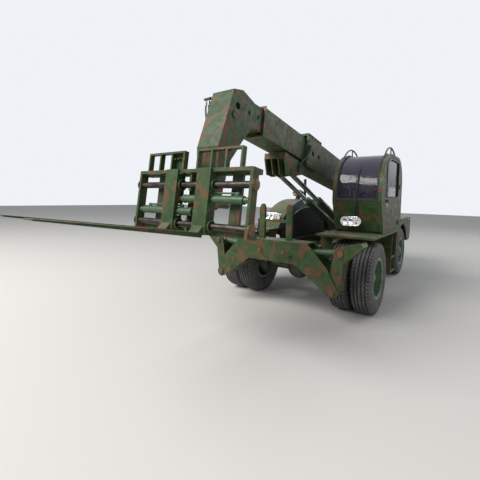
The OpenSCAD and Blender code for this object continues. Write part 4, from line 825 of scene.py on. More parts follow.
# %% Seal around the windscreen
front_bend = (0.750, 1.855)
bend_y, bend_z = front_bend
screen_arc = arc(front_bend, 0.642, 180, 90, 25)
screen_side = [(0.108, 1.738)] + screen_arc + [(0.948, 2.497)]
screen_x = (0.572, 1.198)
screen_loop = ([(screen_x[0], y, z) for y, z in screen_side] +
               [(screen_x[1], y, z) for y, z in reversed(screen_side)])
tube("windscreen_seal", screen_loop, 0.0125, seal_rubber, "chassis", closed=True)
lower_seal = block((screen_x[0] - 0.010, 0.101, 1.700), (screen_x[1] + 0.010, 0.112, 1.742), 0.004)
piece("windscreen_lower_seal", lower_seal, seal_rubber, "chassis")
print("seal around the screen:", len(screen_loop), "points")

# %% [markdown]
# The door's window and the one opposite share one outline: a straight sill and two uprights under the
# same arc as the cab. Where the uprights meet the arcs is worked out from the circles, as on a drawing.

# %% Seals around the windows
window_low, window_front, window_back = 1.780, 0.420, 1.350
window_r = 0.548
back_bend_y, back_bend_z, back_r = 1.300, 2.045, 0.358
window_arc = [(y, z) for y, z in arc(front_bend, window_r, 180, 90, 30) if y > window_front + 0.004]
front_top = bend_z + math.sqrt(window_r ** 2 - (bend_y - window_front) ** 2)
back_top = back_bend_z + math.sqrt(back_r ** 2 - (window_back - back_bend_y) ** 2)
window_line = ([(window_front, window_low), (window_front, front_top)] + window_arc +
               [(back_bend_y, 2.403), (window_back, back_top), (window_back, window_low)])
for name, x, body in (("door_window_seal", 1.270, "cab_door"), ("inner_window_seal", 0.499, "chassis")):
    tube(name, rounded([(x, y, z) for y, z in window_line], 0.03, closed=True), 0.011, seal_rubber, body,
         closed=True)
back_line = [(0.600, 1.640), (1.170, 1.640), (1.170, 1.990), (0.600, 1.990)]
tube("back_window_seal", rounded([(x, 1.752, z) for x, z in back_line], 0.05, closed=True), 0.011,
     seal_rubber, "chassis", closed=True)
print("window seal:", len(window_line), "points, its front corner at", round(front_top, 3), "m")

# %% [markdown]
# The wiper stands upright in the middle of the screen: a motor boss on the front panel, a round sprung
# arm and a blade that follows the arc of the glass. Behind the glass a slim bar stiffens the screen.

# %% Wiper
wiper_x = 0.882
arm_foot = [(0.092, 1.640), (0.084, 1.700), (0.086, 1.780), (0.090, bend_z)]
wiper_line = arm_foot + arc(front_bend, 0.656, 176, 148, 9)
tube("wiper_arm", [(wiper_x, y, z) for y, z in wiper_line], 0.0085, black_trim, "chassis")
blade_line = [(wiper_x + 0.018, y, z) for y, z in arc(front_bend, 0.6475, 178, 142, 16)]
tube("wiper_blade", blade_line, 0.006, seal_rubber, "chassis")
boss = lathe([(0, 0), (0.030, 0), (0.030, 0.012), (0.022, 0.018), (0.022, 0.040), (0.016, 0.048), (0, 0.048)],
             32)
yoke = block((-0.012, -0.006, 0.034), (0.012, 0.070, 0.046), 0.003)
piece("wiper_boss", aim(gather([boss, yoke]), (wiper_x, 0.136, 1.632), (0, -1, 0)), black_trim, "chassis")
bar_line = [(0.140, 1.745), (0.138, bend_z)] + arc(front_bend, 0.612, 180, 92, 18)
tube("screen_centre_bar", [(0.885, y, z) for y, z in bar_line], 0.011, black_trim, "chassis")
print("wiper arm:", len(wiper_line), "points, blade:", len(blade_line))

# %% [markdown]
# Two thin lines run down the leaning front panel from the screen, a little proud of it. The door shuts
# with a round lock on a small plate that is held by four screws.

# %% Lines on the front panel and door lock
panel_top, panel_slope = 1.700, 2.6
line_proud = 0.012


def panel_y(z):
    """Y of the front panel's outer face at a height z below the screen."""
    return 0.110 + (panel_top - z) / panel_slope


for number, x in enumerate((0.862, 0.905)):
    corners = [(x, 0.118, 1.690), (x, panel_y(1.640) - line_proud, 1.640),
               (x, panel_y(1.445) - line_proud, 1.445), (x, panel_y(1.430), 1.430)]
    tube("wiper_line_%d" % (number + 1), rounded(corners, 0.02), 0.0075, black_trim, "chassis")

lock_plate = plate([(-0.028, -0.045), (0.028, -0.045), (0.028, 0.045), (-0.028, 0.045)], 0.004, 0.0015)
lock = lathe([(0, 0.004), (0.017, 0.004), (0.019, 0.010), (0.019, 0.016), (0.010, 0.021), (0, 0.021)], 32)
screws = ring_of(4, 0.036, lambda: lathe([(0, 0.004), (0.0045, 0.004), (0.004, 0.0065), (0, 0.0068)], 12),
                 math.radians(57))
piece("door_lock", aim(gather([lock_plate, lock, screws]), (1.270, 0.445, 1.640), (1, 0, 0)), zinc,
      "cab_door")
print("the front panel runs from y", panel_y(panel_top), "at its top to", round(panel_y(1.430), 3))

# %% [markdown]
# A headlamp of this kind is one oval chromed tray with two deep bowls, and a red and an amber lens beside
# them. The bowls are turned, and the tray's rim is a round chromed bezel.

# %% Headlamps
def lamp_cluster(name, x0, x1, y, z, half):
    """Bezel, bowls and coloured lenses of an oval tray from x0 to x1, on a face at y."""
    rim = [(x, y - 0.002, z + dz) for x, dz in
           arc((x1 - half, 0), half + 0.004, -90, 90, 15) + arc((x0 + half, 0), half + 0.004, 90, 270, 15)]
    tube(name + "_bezel", rim, 0.0085, lamp_chrome, "chassis", closed=True)
    bowls = []
    middle = (x0 + x1) / 2
    for x in (middle - 0.085, middle + 0.005):
        bowl = lathe([(0, 0.004), (0.012, 0.005), (0.030, 0.010), (0.040, 0.017), (0.044, 0.0175),
                      (0.046, 0.010), (0.046, 0), (0, 0)], 48)
        bulb = lathe([(0.007, 0.003), (0.0075, 0.012), (0.005, 0.016), (0, 0.0165)], 20)
        bowls.append(aim(gather([bowl, bulb]), (x, y, z), (0, -1, 0)))
    piece(name + "_bowls", gather(bowls), lamp_chrome, "chassis")
    side_lens = [(0, 0.012), (0.014, 0.011), (0.024, 0.007), (0.028, 0), (0, 0)]
    for part, dx, dz, finish in (("amber", 0.092, 0.020, amber_lens), ("red", 0.090, -0.026, red_lens)):
        lens = lathe([(0.6 * radius, height) for radius, height in side_lens], 36)
        piece(name + "_" + part, aim(lens, (middle + dx, y, z + dz), (0, -1, 0)), finish, "chassis")


lamp_z, lamp_half = 1.370, 0.068
lamp_cluster("cab_headlamp", 0.640, 0.950, 0.170, lamp_z, lamp_half)
lamp_cluster("hood_headlamp", -0.755, -0.445, 0.040, lamp_z, lamp_half)
print("headlamp bezels:", [name for name in pieces if name.endswith("_bezel")])

# %% [markdown]
# The wheels carry their hardware outside: a split side ring that holds the tyre's bead, a hub cap and
# wheel nuts on their studs. The ring and nuts stand at each wheel's outer disc, so they are built about
# the X axis for the left side and mirrored for the right.

# %% Wheel hardware
nut_count, nut_at = 10, 0.112
side_ring = [(0.272, -0.004), (0.318, -0.002), (0.322, 0.004), (0.318, 0.010), (0.300, 0.013), (0.292, 0.009),
             (0.283, 0.010), (0.272, 0.004)]


def wheel_hardware(ring_x, nut_x, cap_x):
    """Side ring, nuts and hub cap of one wheel, facing +X, each x from the wheel's middle plane."""
    ring = aim(lathe(side_ring, 96, closed=True), (ring_x, 0, 0), (1, 0, 0))
    nuts = ring_of(nut_count, nut_at, lambda: bolt(0.030))
    stud_end = [(0.010, 0.018), (0.010, 0.034), (0.008, 0.036), (0, 0.036)]
    stud_ends = ring_of(nut_count, nut_at, lambda: lathe(stud_end, 14))
    cap = lathe([(0.070, 0), (0.074, 0.002), (0.074, 0.010), (0.060, 0.016), (0.028, 0.020), (0.026, 0.026),
                 (0, 0.027)], 48)
    cap_screws = ring_of(6, 0.063, lambda: aim(bolt(0.012, False), (0, 0, 0.012)))
    studs = aim(gather([nuts, stud_ends]), (nut_x, 0, 0), (1, 0, 0))
    return ring, studs, aim(gather([cap, cap_screws]), (cap_x, 0, 0), (1, 0, 0))


# Where a wheel's middle plane is, and from there its side ring, the seat of its nuts and its hub's face
wheel_layout = {"front": (0.9875, 0.296, 0.050, 0.235), "rear": (0.930, 0.121, 0.075, 0.118)}
hardware = (("side_ring", rim_paint, "rim_paint"), ("wheel_nuts", zinc, "shaft_steel"),
            ("hub_cap", rim_paint, "rim_paint"))
for corner, wheel_body in wheel_bodies.items():
    middle_x, ring_x, nut_x, cap_x = wheel_layout[corner.split("_")[0]]
    rim_node = corner + ("_rims" if corner.startswith("front") else "_rim")
    low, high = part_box(rim_node)
    axle_middle = (middle_x, (low.y + high.y) / 2, (low.z + high.z) / 2)
    for shape, (part, finish, slot) in zip(wheel_hardware(ring_x, nut_x, cap_x), hardware):
        bmesh.ops.translate(shape, vec=axle_middle, verts=shape.verts)
        if corner.endswith("right"):
            bmesh.ops.scale(shape, vec=(-1, 1, 1), verts=shape.verts)
            bmesh.ops.reverse_faces(shape, faces=shape.faces)
        piece(corner + "_" + part, shape, finish, wheel_body)
print("wheels dressed:", list(wheel_layout))

# %% [markdown]
# Pins end in a round, rust-brown head with a grease nipple, and the larger ones are kept from turning by
# a small plate and two bolts. One helper makes such an end, because this machine has them at every
# joint, and a table says where each one sits, which way it looks and what it rides on.

# %% Pin ends
pin_bronze = one_colour("pin_bronze", (0.120, 0.058, 0.026), (0.190, 0.100, 0.050), 0.5, 0.3, 60, dirt=0.2)


def pin_end(radius, keeper=True):
    """The end of a pin with its keeper plate, standing on a face along Z."""
    head = lathe([(0, 0), (radius, 0), (radius, 0.009), (radius - 0.004, 0.013), (0.010, 0.013),
                  (0.008, 0.016), (0.005, 0.017), (0.005, 0.022), (0.003, 0.026), (0, 0.026)], 40)
    shapes = [head]
    if keeper:
        half, out = 0.7 * radius, 0.82 * radius
        bar = plate([(-half, -0.013), (half, -0.013), (half, 0.013), (-half, 0.013)], 0.007, 0.0015)
        shapes.append(aim(bar, (0, -out - 0.006, 0.0065)))
        shapes += [aim(bolt(0.015), (x, -out - 0.008, 0.0135)) for x in (-0.62 * half, 0.62 * half)]
    return gather(shapes)


carriage_pivot = Vector((0, -2.470, 1.660))
leg_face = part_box("leg_left")[0].y
front = (0, -1, 0)
for side, sign in (("left", 1), ("right", -1)):
    outward = (sign, 0, 0)
    for name, end, place, direction, body in (
            ("leg_pin_end_", pin_end(0.040), (0.935 * sign, -1.014, 0.490), front, "chassis"),
            ("leg_eye_end_", pin_end(0.036), (1.030 * sign, leg_face - 0.0005, 1.010), front, "leg_" + side),
            ("bridge_pin_end_", pin_end(0.030, False), (0.200 * sign, -1.0005, 0.930), front, "chassis"),
            ("boom_pivot_end_", pin_end(0.062), (0.425 * sign, *boom_pivot.yz), outward, "chassis"),
            ("carriage_pin_end_", pin_end(0.060), (0.1565 * sign, *carriage_pivot.yz), outward,
             "boom_inner")):
        piece(name + side, aim(end, place, direction), pin_bronze, body)
print("pin ends:", len([name for name in pieces if "_end_" in name]))

# %% [markdown]
# The collar that the boom's sections slide in is bolted in rows: two along each side, two along the top
# and a short one at the front end of each side. One helper lays a row of bolts between two points, and
# the rows are joined into one piece.

# %% Bolts on the boom's collar
def bolt_row(first, last, count, direction, across=0.022):
    """Bolts in a straight row from first to last, all facing one way."""
    first, last = Vector(first), Vector(last)
    return [aim(bolt(across), first.lerp(last, k / max(1, count - 1)), direction) for k in range(count)]


collar_side, collar_high, collar_mid = 0.222, 0.262, 0.020
collar_back, collar_front = 3.265, 3.715
rows = []
for x, outward in ((collar_side, (1, 0, 0)), (-collar_side, (-1, 0, 0))):
    for h in (collar_mid - 0.235, collar_mid + 0.235):
        rows += bolt_row(on_boom(x, collar_back, h), on_boom(x, collar_front, h), 5, outward)
    rows += bolt_row(on_boom(x, collar_front, -0.12), on_boom(x, collar_front, 0.16), 3, outward)
for x in (-0.17, 0.17):
    h = collar_mid + collar_high
    rows += bolt_row(on_boom(x, collar_back, h), on_boom(x, collar_front, h), 5, boom_up)
piece("collar_bolts", gather(rows), camouflage, "boom_outer")
print("bolts on the boom's collar:", len(rows))

# %% [markdown]
# The engine hood is painted in the pattern outside, while its inner side is a glossy navy panel. A thin
# bright trim runs along the arc, and inside it a black panel is painted shadow, as is a black skirt under
# the panel. Rubber latches hold it shut.

# %% Hood panels
navy_panel = one_colour("navy_panel", (0.010, 0.028, 0.075), (0.018, 0.044, 0.110), 0.38, dirt=0.2, edge=0.1)
# Painted shadow: near-black paint for sheets that stand where the hood's inner side is in shade
shadow_black = one_colour("shadow_black", (0.003, 0.003, 0.003), (0.008, 0.008, 0.008), 0.75, dirt=0.1,
                          edge=0.1)
hood_inner_x = -0.400
hood_centre = (1.100, 0.110)
inner_r, inner_start, inner_corner = 1.430, 130.3, (1.820, 1.540)


def hood_panel(radius, start, back, thick):
    """A panel on the hood's inner side: its arc about the hood's centre, then down the back slope."""
    bm = plate(arc(hood_centre, radius, start, 90, 28) + back, thick)
    swap = Matrix(((0, 0, 1, hood_inner_x), (1, 0, 0, 0), (0, 1, 0, 0), (0, 0, 0, 1)))
    bmesh.ops.transform(bm, matrix=swap, verts=bm.verts)
    bmesh.ops.recalc_face_normals(bm, faces=bm.faces)
    return bm


piece("hood_navy_panel", hood_panel(1.588, 136.6, [(1.885, 1.698), (2.046, 1.500), (2.046, 1.200)], 0.002),
      navy_panel, "chassis")
# Painted shadow: a black panel inside the trim and a black skirt under it, where there is only shade
inner_panel = hood_panel(inner_r, inner_start, [inner_corner, (1.930, 1.420), (1.930, 1.200)], 0.0035)
skirt = block((hood_inner_x, 0.064, 0.955), (hood_inner_x + 0.003, 1.960, 1.196), 0)
piece("hood_shadow_panel", gather([inner_panel, skirt]), shadow_black, "chassis")
trim_line = arc(hood_centre, inner_r, inner_start, 90, 28) + [inner_corner]
tube("hood_trim", [(hood_inner_x + 0.005, y, z) for y, z in trim_line], 0.004, lamp_chrome, "chassis")
latch = gather([block((-0.016, -0.040, 0), (0.016, 0.040, 0.006), 0.003),
                lathe([(0, 0.006), (0.009, 0.006), (0.008, 0.020), (0.006, 0.022), (0, 0.022)], 24),
                block((-0.030, -0.007, 0.016), (0.030, 0.007, 0.026), 0.003)])
latches = [aim(latch.copy(), (hood_inner_x + 0.002, y, 1.255), (1, 0, 0)) for y in (0.20, 1.98)]
latches += [aim(latch.copy(), (-0.800, y, 1.235), (-1, 0, 0)) for y in (0.35, 1.60)]
latch.free()
piece("hood_latches", gather(latches), black_trim, "chassis")
print("on the hood:", len(latches), "latches, trim of", len(trim_line), "points")

# %% [markdown]
# The air cleaner stands on the hood with a clear orange-brown dust bowl under its grey rain cap. The
# bowl is a thin turned shell around the solid's own band, with a clamp and its screw.

# %% Air cleaner details
dust_bowl = lens_finish("dust_bowl", (0.240, 0.085, 0.020), (0.420, 0.170, 0.050), 14)
cap_grey = one_colour("cap_grey", (0.055, 0.056, 0.055), (0.110, 0.110, 0.105), 0.6, dirt=0.3)
low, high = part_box("air_cleaner")
cleaner = Vector(((low.x + high.x) / 2, (low.y + high.y) / 2, low.z))
bowl = lathe([(0.0900, 0.064), (0.0945, 0.068), (0.1005, 0.082), (0.1005, 0.114), (0.0985, 0.117),
              (0.0985, 0.083), (0.0900, 0.068)], 64, closed=True)
piece("dust_bowl", aim(bowl, cleaner), dust_bowl, "chassis")
cap = lathe([(0, 0.2005), (0.035, 0.1975), (0.079, 0.1825), (0.1095, 0.1565), (0.1195, 0.132),
             (0.1175, 0.1195), (0.1165, 0.1195), (0.1085, 0.156), (0.078, 0.181), (0.034, 0.196), (0, 0.199)],
            64)
piece("rain_cap", aim(cap, cleaner), cap_grey, "chassis")
clamp = lathe([(0.1008, 0.112), (0.1035, 0.112), (0.1035, 0.119), (0.1008, 0.119)], 64, closed=True)
wing = aim(gather([block((-0.004, -0.014, -0.010), (0.012, 0.014, 0.010), 0.002), bolt(0.012, False)]),
           (0.103, 0, 0.1155))
piece("bowl_clamp", aim(gather([clamp, wing]), cleaner, turn=-2.2), zinc, "chassis")
print("air cleaner stands at", [round(value, 3) for value in cleaner])

# %% [markdown]
# Decks are chequer plate: short raised bars that lean one way and then the other, worn bright on top by
# boots. A few hundred small blocks are cheap, and they catch a low light where a bump map would not.

# %% Chequered decks
worn_bars = one_colour("worn_bars", (0.085, 0.090, 0.055), (0.200, 0.190, 0.130), 0.42, 0.5, 30, dirt=0.3)
bar_size, bar_pitch, top_share = Vector((0.030, 0.009, 0.003)), 0.060, 0.86


def chequer(x0, x1, y0, y1, z):
    """Bars on a deck from x0 to x1 and y0 to y1 whose top is at z, each a little smaller at its top."""
    bm = bmesh.new()
    across, along = int((x1 - x0) / bar_pitch), int((y1 - y0) / bar_pitch)
    for i in range(across):
        for j in range(along):
            lean = Matrix.Rotation(math.radians(45 if (i + j) % 2 else -45), 4, "Z")
            place = Vector((x0 + (i + 0.5) * (x1 - x0) / across, y0 + (j + 0.5) * (y1 - y0) / along, z))
            middle = Matrix.Translation(place + Vector((0, 0, bar_size.z / 2)))
            made = bmesh.ops.create_cube(bm, size=1, matrix=middle @ lean @ Matrix.Diagonal((*bar_size, 1)))
            for vert in made["verts"]:
                if vert.co.z > z + 0.5 * bar_size.z:
                    vert.co = place + (vert.co - place) * top_share
                    vert.co.z = z + bar_size.z
    return bm


deck_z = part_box("deck_plates")[1].z
deck_front = -0.350
deck_areas = [(0.445, 1.280, deck_front, 0.290), (-1.280, -0.815, deck_front, 2.190),
              (-0.790, -0.445, deck_front, -0.110)]
bars = gather([chequer(*area, deck_z) for area in deck_areas])
piece("deck_chequer", bars, worn_bars, "chassis")
print("chequer bars:", pieces["deck_chequer"] // 6)

# %% [markdown]
# The carriage leans back on the boom head, so its hardware is placed in its own frame: f metres forward
# of its pivot and h metres above. The guide shafts are held by bolted end caps, and the forks carry raised
# wiper rings and grease nipples where they slide on the shafts.

# %% Shaft caps, wiper rings and nipples
carriage_lean = math.radians(7.6)
carriage_out = Vector((0, -math.cos(carriage_lean), math.sin(carriage_lean)))
carriage_up = Vector((0, math.sin(carriage_lean), math.cos(carriage_lean)))
shaft_f, shaft_hs = 0.235, (0.146, -0.266)


def on_carriage(x, f, h):
    """The place that is f forward of the carriage's pivot, h above it and x across."""
    return carriage_pivot + carriage_out * f + carriage_up * h + Vector((x, 0, 0))


def shaft_cap():
    """A turned end cap with four screws, its seat at the origin."""
    cap = lathe([(0.040, 0), (0.054, 0), (0.055, 0.001), (0.055, 0.005), (0.054, 0.006), (0.042, 0.006),
                 (0.040, 0.010), (0.036, 0.0125), (0, 0.0125)], 48)
    return gather([cap, ring_of(4, 0.047, lambda: aim(bolt(0.009, False), (0, 0, 0.006)), 0.4)])


caps = [aim(shaft_cap(), on_carriage(0.8122 * sign, shaft_f, h), (sign, 0, 0))
        for sign in (1, -1) for h in shaft_hs]
piece("shaft_end_caps", gather(caps), pin_bronze, "carriage")

wiper_ring = [(0.0455, 0), (0.0585, 0), (0.0600, 0.002), (0.0600, 0.010), (0.0580, 0.012), (0.0480, 0.012),
              (0.0455, 0.010)]
nipple = [(0.006, 0), (0.006, 0.005), (0.004, 0.006), (0.0045, 0.012), (0.002, 0.016), (0, 0.016)]
bush_top = 0.0575
for side, sign in (("left", 1), ("right", -1)):
    rings = [aim(lathe(wiper_ring, 64, closed=True), on_carriage(x * sign, shaft_f, h), (way * sign, 0, 0))
             for x, way in ((0.330, 1), (0.130, -1)) for h in shaft_hs]
    piece("shaft_wipers_" + side, gather(rings), plain_green, "fork_" + side)
    nipples = [aim(lathe(nipple, 14), on_carriage(x * sign, shaft_f, h) + carriage_up * bush_top, carriage_up)
               for x in (0.165, 0.295) for h in shaft_hs]
    piece("bush_nipples_" + side, gather(nipples), zinc, "fork_" + side)
print("carriage shafts:", len(caps), "caps,", 2 * len(rings), "wiper rings,", 2 * len(nipples), "nipples")

# %% [markdown]
# Each fork is moved by a positioner cylinder with a gland ring at its mouth and two oil ports. The lines
# to them end in hose fittings on both sides of the right guard's plate.

# %% Positioner glands, ports and guard fittings
gland_ring = [(0.0416, -0.022), (0.0450, -0.022), (0.0458, -0.020), (0.0458, -0.002), (0.0450, 0.0005),
              (0.0416, 0.0005)]
positioner_parts = []
for sign, h in ((1, 0.0), (-1, -0.133)):
    gland = lathe(gland_ring, 48, closed=True)
    positioner_parts.append(aim(gland, on_carriage(-0.0700 * sign, shaft_f, h), (-sign, 0, 0)))
    for x in (0.092, 0.618):
        port = block((-0.012, -0.0115, 0.038), (0.012, 0.0115, 0.0745), 0.002)
        positioner_parts.append(aim(port, on_carriage(x * sign, shaft_f, h), carriage_up))
piece("positioner_ports", gather(positioner_parts), plain_green, "carriage")

bulkheads = []
for x in (-0.300, -0.255, -0.210):
    for way, f in ((1, 0.2232), (-1, 0.2108)):
        bulkheads.append(aim(ferrule(0.009), on_carriage(x, f, 0.425), carriage_out * way))
piece("guard_bulkheads", gather(bulkheads), engine_black, "carriage")
print("positioners:", len(positioner_parts), "glands and ports, guard:", len(bulkheads), "fittings")

# %% [markdown]
# Lift cylinders have a screwed gland and one steel pipe that takes oil to the rod end. The pipe is bent
# at both ends into its port and held by two clips, on the side of the barrel that looks up.

# %% Lift cylinder pipes
lift_foot = Vector((0, 2.100, 1.080))
lift_along = (on_boom(0, 4.110, -0.425) - lift_foot).normalized()
lift_side = Vector((0, -lift_along.z, lift_along.y))
lift_side = lift_side if lift_side.z > 0 else -lift_side
lift_x, barrel_end = 0.110, 1.7600
port_at, clip_at = (0.155, 1.705), (0.60, 1.20)
pipe_off, port_off = 0.092, 0.078


def on_lift(x, along, off=0.0):
    """The place on a lift cylinder at x, along its barrel from the foot and off towards its upper side."""
    return lift_foot + lift_along * along + lift_side * off + Vector((x, 0, 0))


lift_gland = [(0.0385, 0), (0.0600, 0), (0.0600, 0.010), (0.0560, 0.015), (0.0450, 0.016), (0.0385, 0.013)]
lift_fittings = []
for side, x in (("left", lift_x), ("right", -lift_x)):
    lift_fittings.append(aim(lathe(lift_gland, 48, closed=True), on_lift(x, barrel_end), lift_along))
    for along in port_at:
        port = block((-0.014, -0.014, 0.056), (0.014, 0.014, 0.080), 0.002)
        lift_fittings.append(aim(port, on_lift(x, along), lift_side))
    for along in clip_at:
        clip = block((-0.013, -0.010, 0.058), (0.013, 0.010, 0.098), 0.002)
        lift_fittings.append(aim(clip, on_lift(x, along), lift_side))
    first, last = port_at
    line = rounded([on_lift(x, first, port_off), on_lift(x, first, pipe_off), on_lift(x, last, pipe_off),
                    on_lift(x, last, port_off)], 0.012, 4)
    tube("lift_pipe_" + side, line, 0.006, zinc, "lift_barrels")
piece("lift_fittings", gather(lift_fittings), plain_green, "lift_barrels")
print("each lift pipe is", round(port_at[1] - port_at[0], 3), "m long")

# %% [markdown]
# Two black hoses drop from a block on the boom's collar to one on the lift bracket. They are free hoses
# with crimped ends, and both ends stay on one body, so nothing pulls on them when the boom moves.

# %% Hoses on the boom's collar
def free_hose(name, start, leave, end, arrive, radius, body):
    """A hose with crimped ends that leaves start along one lead and arrives at end along another."""
    start, leave, end, arrive = Vector(start), Vector(leave), Vector(end), Vector(arrive)
    route = soft_line(start, leave, end, arrive)
    hose = tube(name, route, radius, hose_rubber, body, sides=4)
    first = piece(name + "_first_end", aim(ferrule(radius), start - leave.normalized() * fitting_back, leave),
                  engine_black, body)
    last = piece(name + "_last_end", aim(ferrule(radius), end + arrive.normalized() * fitting_back, -arrive),
                 engine_black, body)
    return length_of(route)


collar_s, collar_h, bracket_s, bracket_h = 3.700, 0.080, 3.900, -0.360
collar_block = gather([block((0.222, -0.030, -0.020), (0.252, 0.030, 0.020), 0.003)] +
                      [aim(bolt(0.012), (0.252, y, 0), (1, 0, 0)) for y in (-0.020, 0.020)])
bracket_block = block((0.1735, -0.040, -0.016), (0.200, 0.040, 0.016), 0.003)
for name, shape, place in (("collar_manifold", collar_block, on_boom(0, collar_s, collar_h)),
                           ("bracket_manifold", bracket_block, on_boom(0, bracket_s, bracket_h))):
    piece(name, aim(shape, place), engine_black, "boom_outer")
collar_lengths = []
for number, (upper, lower) in enumerate(((-0.012, 0.022), (0.012, -0.022))):
    start = on_boom(0.238, collar_s, collar_h) + Vector((0, upper, -0.034))
    end = on_boom(0.187, bracket_s, bracket_h) + Vector((0, lower, 0.030))
    collar_lengths.append(free_hose("collar_hose_%d" % (number + 1), start, (0.012, 0, -0.150), end,
                                    (-0.016, 0, -0.150), 0.010, "boom_outer"))
print("collar hoses:", collar_lengths)

# %% [markdown]
# Beside the right rest post three hoses come out of the bridge and arch up into a block on the bar
# between the posts. They lie loosely side by side, each a little further in than the one before.

# %% Hoses at the rest post
bridge_top, hose_above = 1.100, 0.013
post_block = block((-0.330, -0.862, 1.372), (-0.278, -0.832, 1.398), 0.003)
piece("post_manifold", post_block, engine_black, "chassis")
post_lengths = []
for number, x in enumerate((-0.390, -0.355, -0.320)):
    start = (x, -0.780, bridge_top + hose_above)
    end = (-0.320 + 0.014 * number, -0.847, 1.359)
    post_lengths.append(free_hose("post_hose_%d" % (number + 1), start, (-0.010, 0.010, 0.105), end,
                                  (0.004, 0, 0.105), 0.009, "chassis"))
print("hoses at the rest post:", post_lengths)

# %% [markdown]
# The tanks hang in two steel straps each and are filled through ribbed caps. A strap is the tank's own
# rounded outline, a little larger, pulled to a band and thickened. Each tank has its drain plug below.

# %% Tank straps, caps and plugs
def strap(x0, x1, z0, z1, corner, y, width, thick=0.003):
    """A flat band round a rounded box section, standing off its skin by its own thickness."""
    low_x, high_x, low_z, high_z, r = x0 - thick, x1 + thick, z0 - thick, z1 + thick, corner + thick
    outline = []
    for cx, cz, start in ((high_x - r, high_z - r, 0), (low_x + r, high_z - r, 90),
                          (low_x + r, low_z + r, 180), (high_x - r, low_z + r, 270)):
        outline += arc((cx, cz), r, start, start + 90, 7)
    bm = bmesh.new()
    face = bm.faces.new([bm.verts.new((x, y, z)) for x, z in outline])
    grown = bmesh.ops.extrude_face_region(bm, geom=[face])["geom"]
    far_edge = [vert for vert in grown if isinstance(vert, bmesh.types.BMVert)]
    bmesh.ops.translate(bm, vec=(0, width, 0), verts=far_edge)
    ends = [f for f in bm.faces if len(f.verts) > 4]
    bmesh.ops.delete(bm, geom=ends, context="FACES_ONLY")
    bmesh.ops.recalc_face_normals(bm, faces=bm.faces)
    bmesh.ops.solidify(bm, geom=bm.faces[:], thickness=thick)
    bmesh.ops.recalc_face_normals(bm, faces=bm.faces)
    return bm


def filler_cap():
    """A turned cap with ribs round its rim and a bar across its top."""
    cap = lathe([(0.056, 0.004), (0.060, 0.006), (0.060, 0.030), (0.056, 0.034), (0.020, 0.038), (0, 0.038)],
                48)
    ribs = ring_of(24, 0.0605, lambda: block((-0.0015, -0.0025, 0.008), (0.0015, 0.0025, 0.028), 0))
    return gather([cap, ribs, block((-0.040, -0.006, 0.034), (0.040, 0.006, 0.046), 0.002)])


tank_inside, tank_outside, tank_low, tank_high = 0.520, 1.100, 0.640, 1.090
tank_middle = 0.810
lens_low, lens_high = Vector((0.965, 4.2880, 1.1225)), Vector((1.018, 4.2906, 1.1875))
for side, sign in (("left", 1), ("right", -1)):
    x0, x1 = sorted((tank_inside * sign, tank_outside * sign))
    straps = [strap(x0, x1, tank_low, tank_high, 0.060, y, 0.040) for y in (1.970, 2.320)]
    piece("tank_straps_" + side, gather(straps), black_trim, "chassis")
    cap = aim(filler_cap(), (tank_middle * sign, 2.000, tank_high))
    piece("filler_cap_" + side, cap, black_trim, "chassis")
    x0, x1 = sorted((lens_low.x * sign, lens_high.x * sign))
    lens = block((x0, *lens_low.yz), (x1, *lens_high.yz), 0.0008)
    piece("amber_rear_lens_" + side, lens, amber_lens, "chassis")
    plug = aim(bolt(0.030), (tank_middle * sign, 2.165, tank_low - 0.0005), -UP)
    piece("tank_plug_" + side, plug, zinc, "chassis")
print("tank straps:", round(tank_outside - tank_inside, 3), "m wide")

# %% [markdown]
# At the back the towing jaw keeps its pin, which is dropped in from above and pulled out by a ring. Two
# eyes on the counterweight lift it off, and a row of large bolts on each side holds it to the frame.

# %% Towing pin, lifting eyes and counterweight bolts
pin_y = 4.221
pin = lathe([(0, 0.880), (0.0150, 0.884), (0.0180, 0.892), (0.0180, 1.312), (0.0300, 1.313), (0.0300, 1.320),
             (0.0180, 1.322), (0.0170, 1.332), (0, 1.334)], 32)
piece("towing_pin", aim(pin, (0, pin_y, 0)), zinc, "chassis")
pin_top, grip_wide, grip_high = 1.332, 0.045, 0.034
grip_turns = [math.radians(360 * k / 24) for k in range(24)]
grip = [(grip_wide * math.sin(a), pin_y, pin_top + grip_high + grip_high * -math.cos(a)) for a in grip_turns]
tube("towing_pin_grip", grip, 0.005, zinc, "chassis", closed=True)
eye_r, eye_wire_r = 0.030, 0.010
eye_turns = [math.radians(36 * k) for k in range(10)]
eye_section = [(eye_r + eye_wire_r * math.cos(a), eye_wire_r * math.sin(a)) for a in eye_turns]
eyes = []
for x in (0.70, -0.70):
    collar = lathe([(0, 0), (0.034, 0), (0.034, 0.008), (0.020, 0.016), (0, 0.018)], 32)
    eyes.append(aim(collar, (x, 4.060, 1.310)))
    eyes.append(aim(lathe(eye_section, 32, closed=True), (x, 4.060, 1.362), (0, 1, 0)))
piece("lifting_eyes", gather(eyes), plain_green, "chassis")
rows = []
for x, outward in ((1.0902, (1, 0, 0)), (-1.0902, (-1, 0, 0))):
    rows += bolt_row((x, 3.960, 1.255), (x, 3.960, 0.835), 3, outward, 0.030)
piece("counterweight_bolts", gather(rows), zinc, "chassis")
print("at the back:", len(eyes) // 2, "lifting eyes and", len(rows), "bolts")

# %% [markdown]
# A seat pad is foam in a sewn cover, so it bulges between its seams. The form is remeshed evenly and
# inflated by cloth simulation with a little pressure, which gives the bulge. The sewn channels are
# pressed in afterwards, since remeshing would lose them.

# %% A padded piece
pad_voxel, pad_pressure, pad_frames = 0.006, 4, 20
channel_wide, channel_deep = 0.007, 0.007


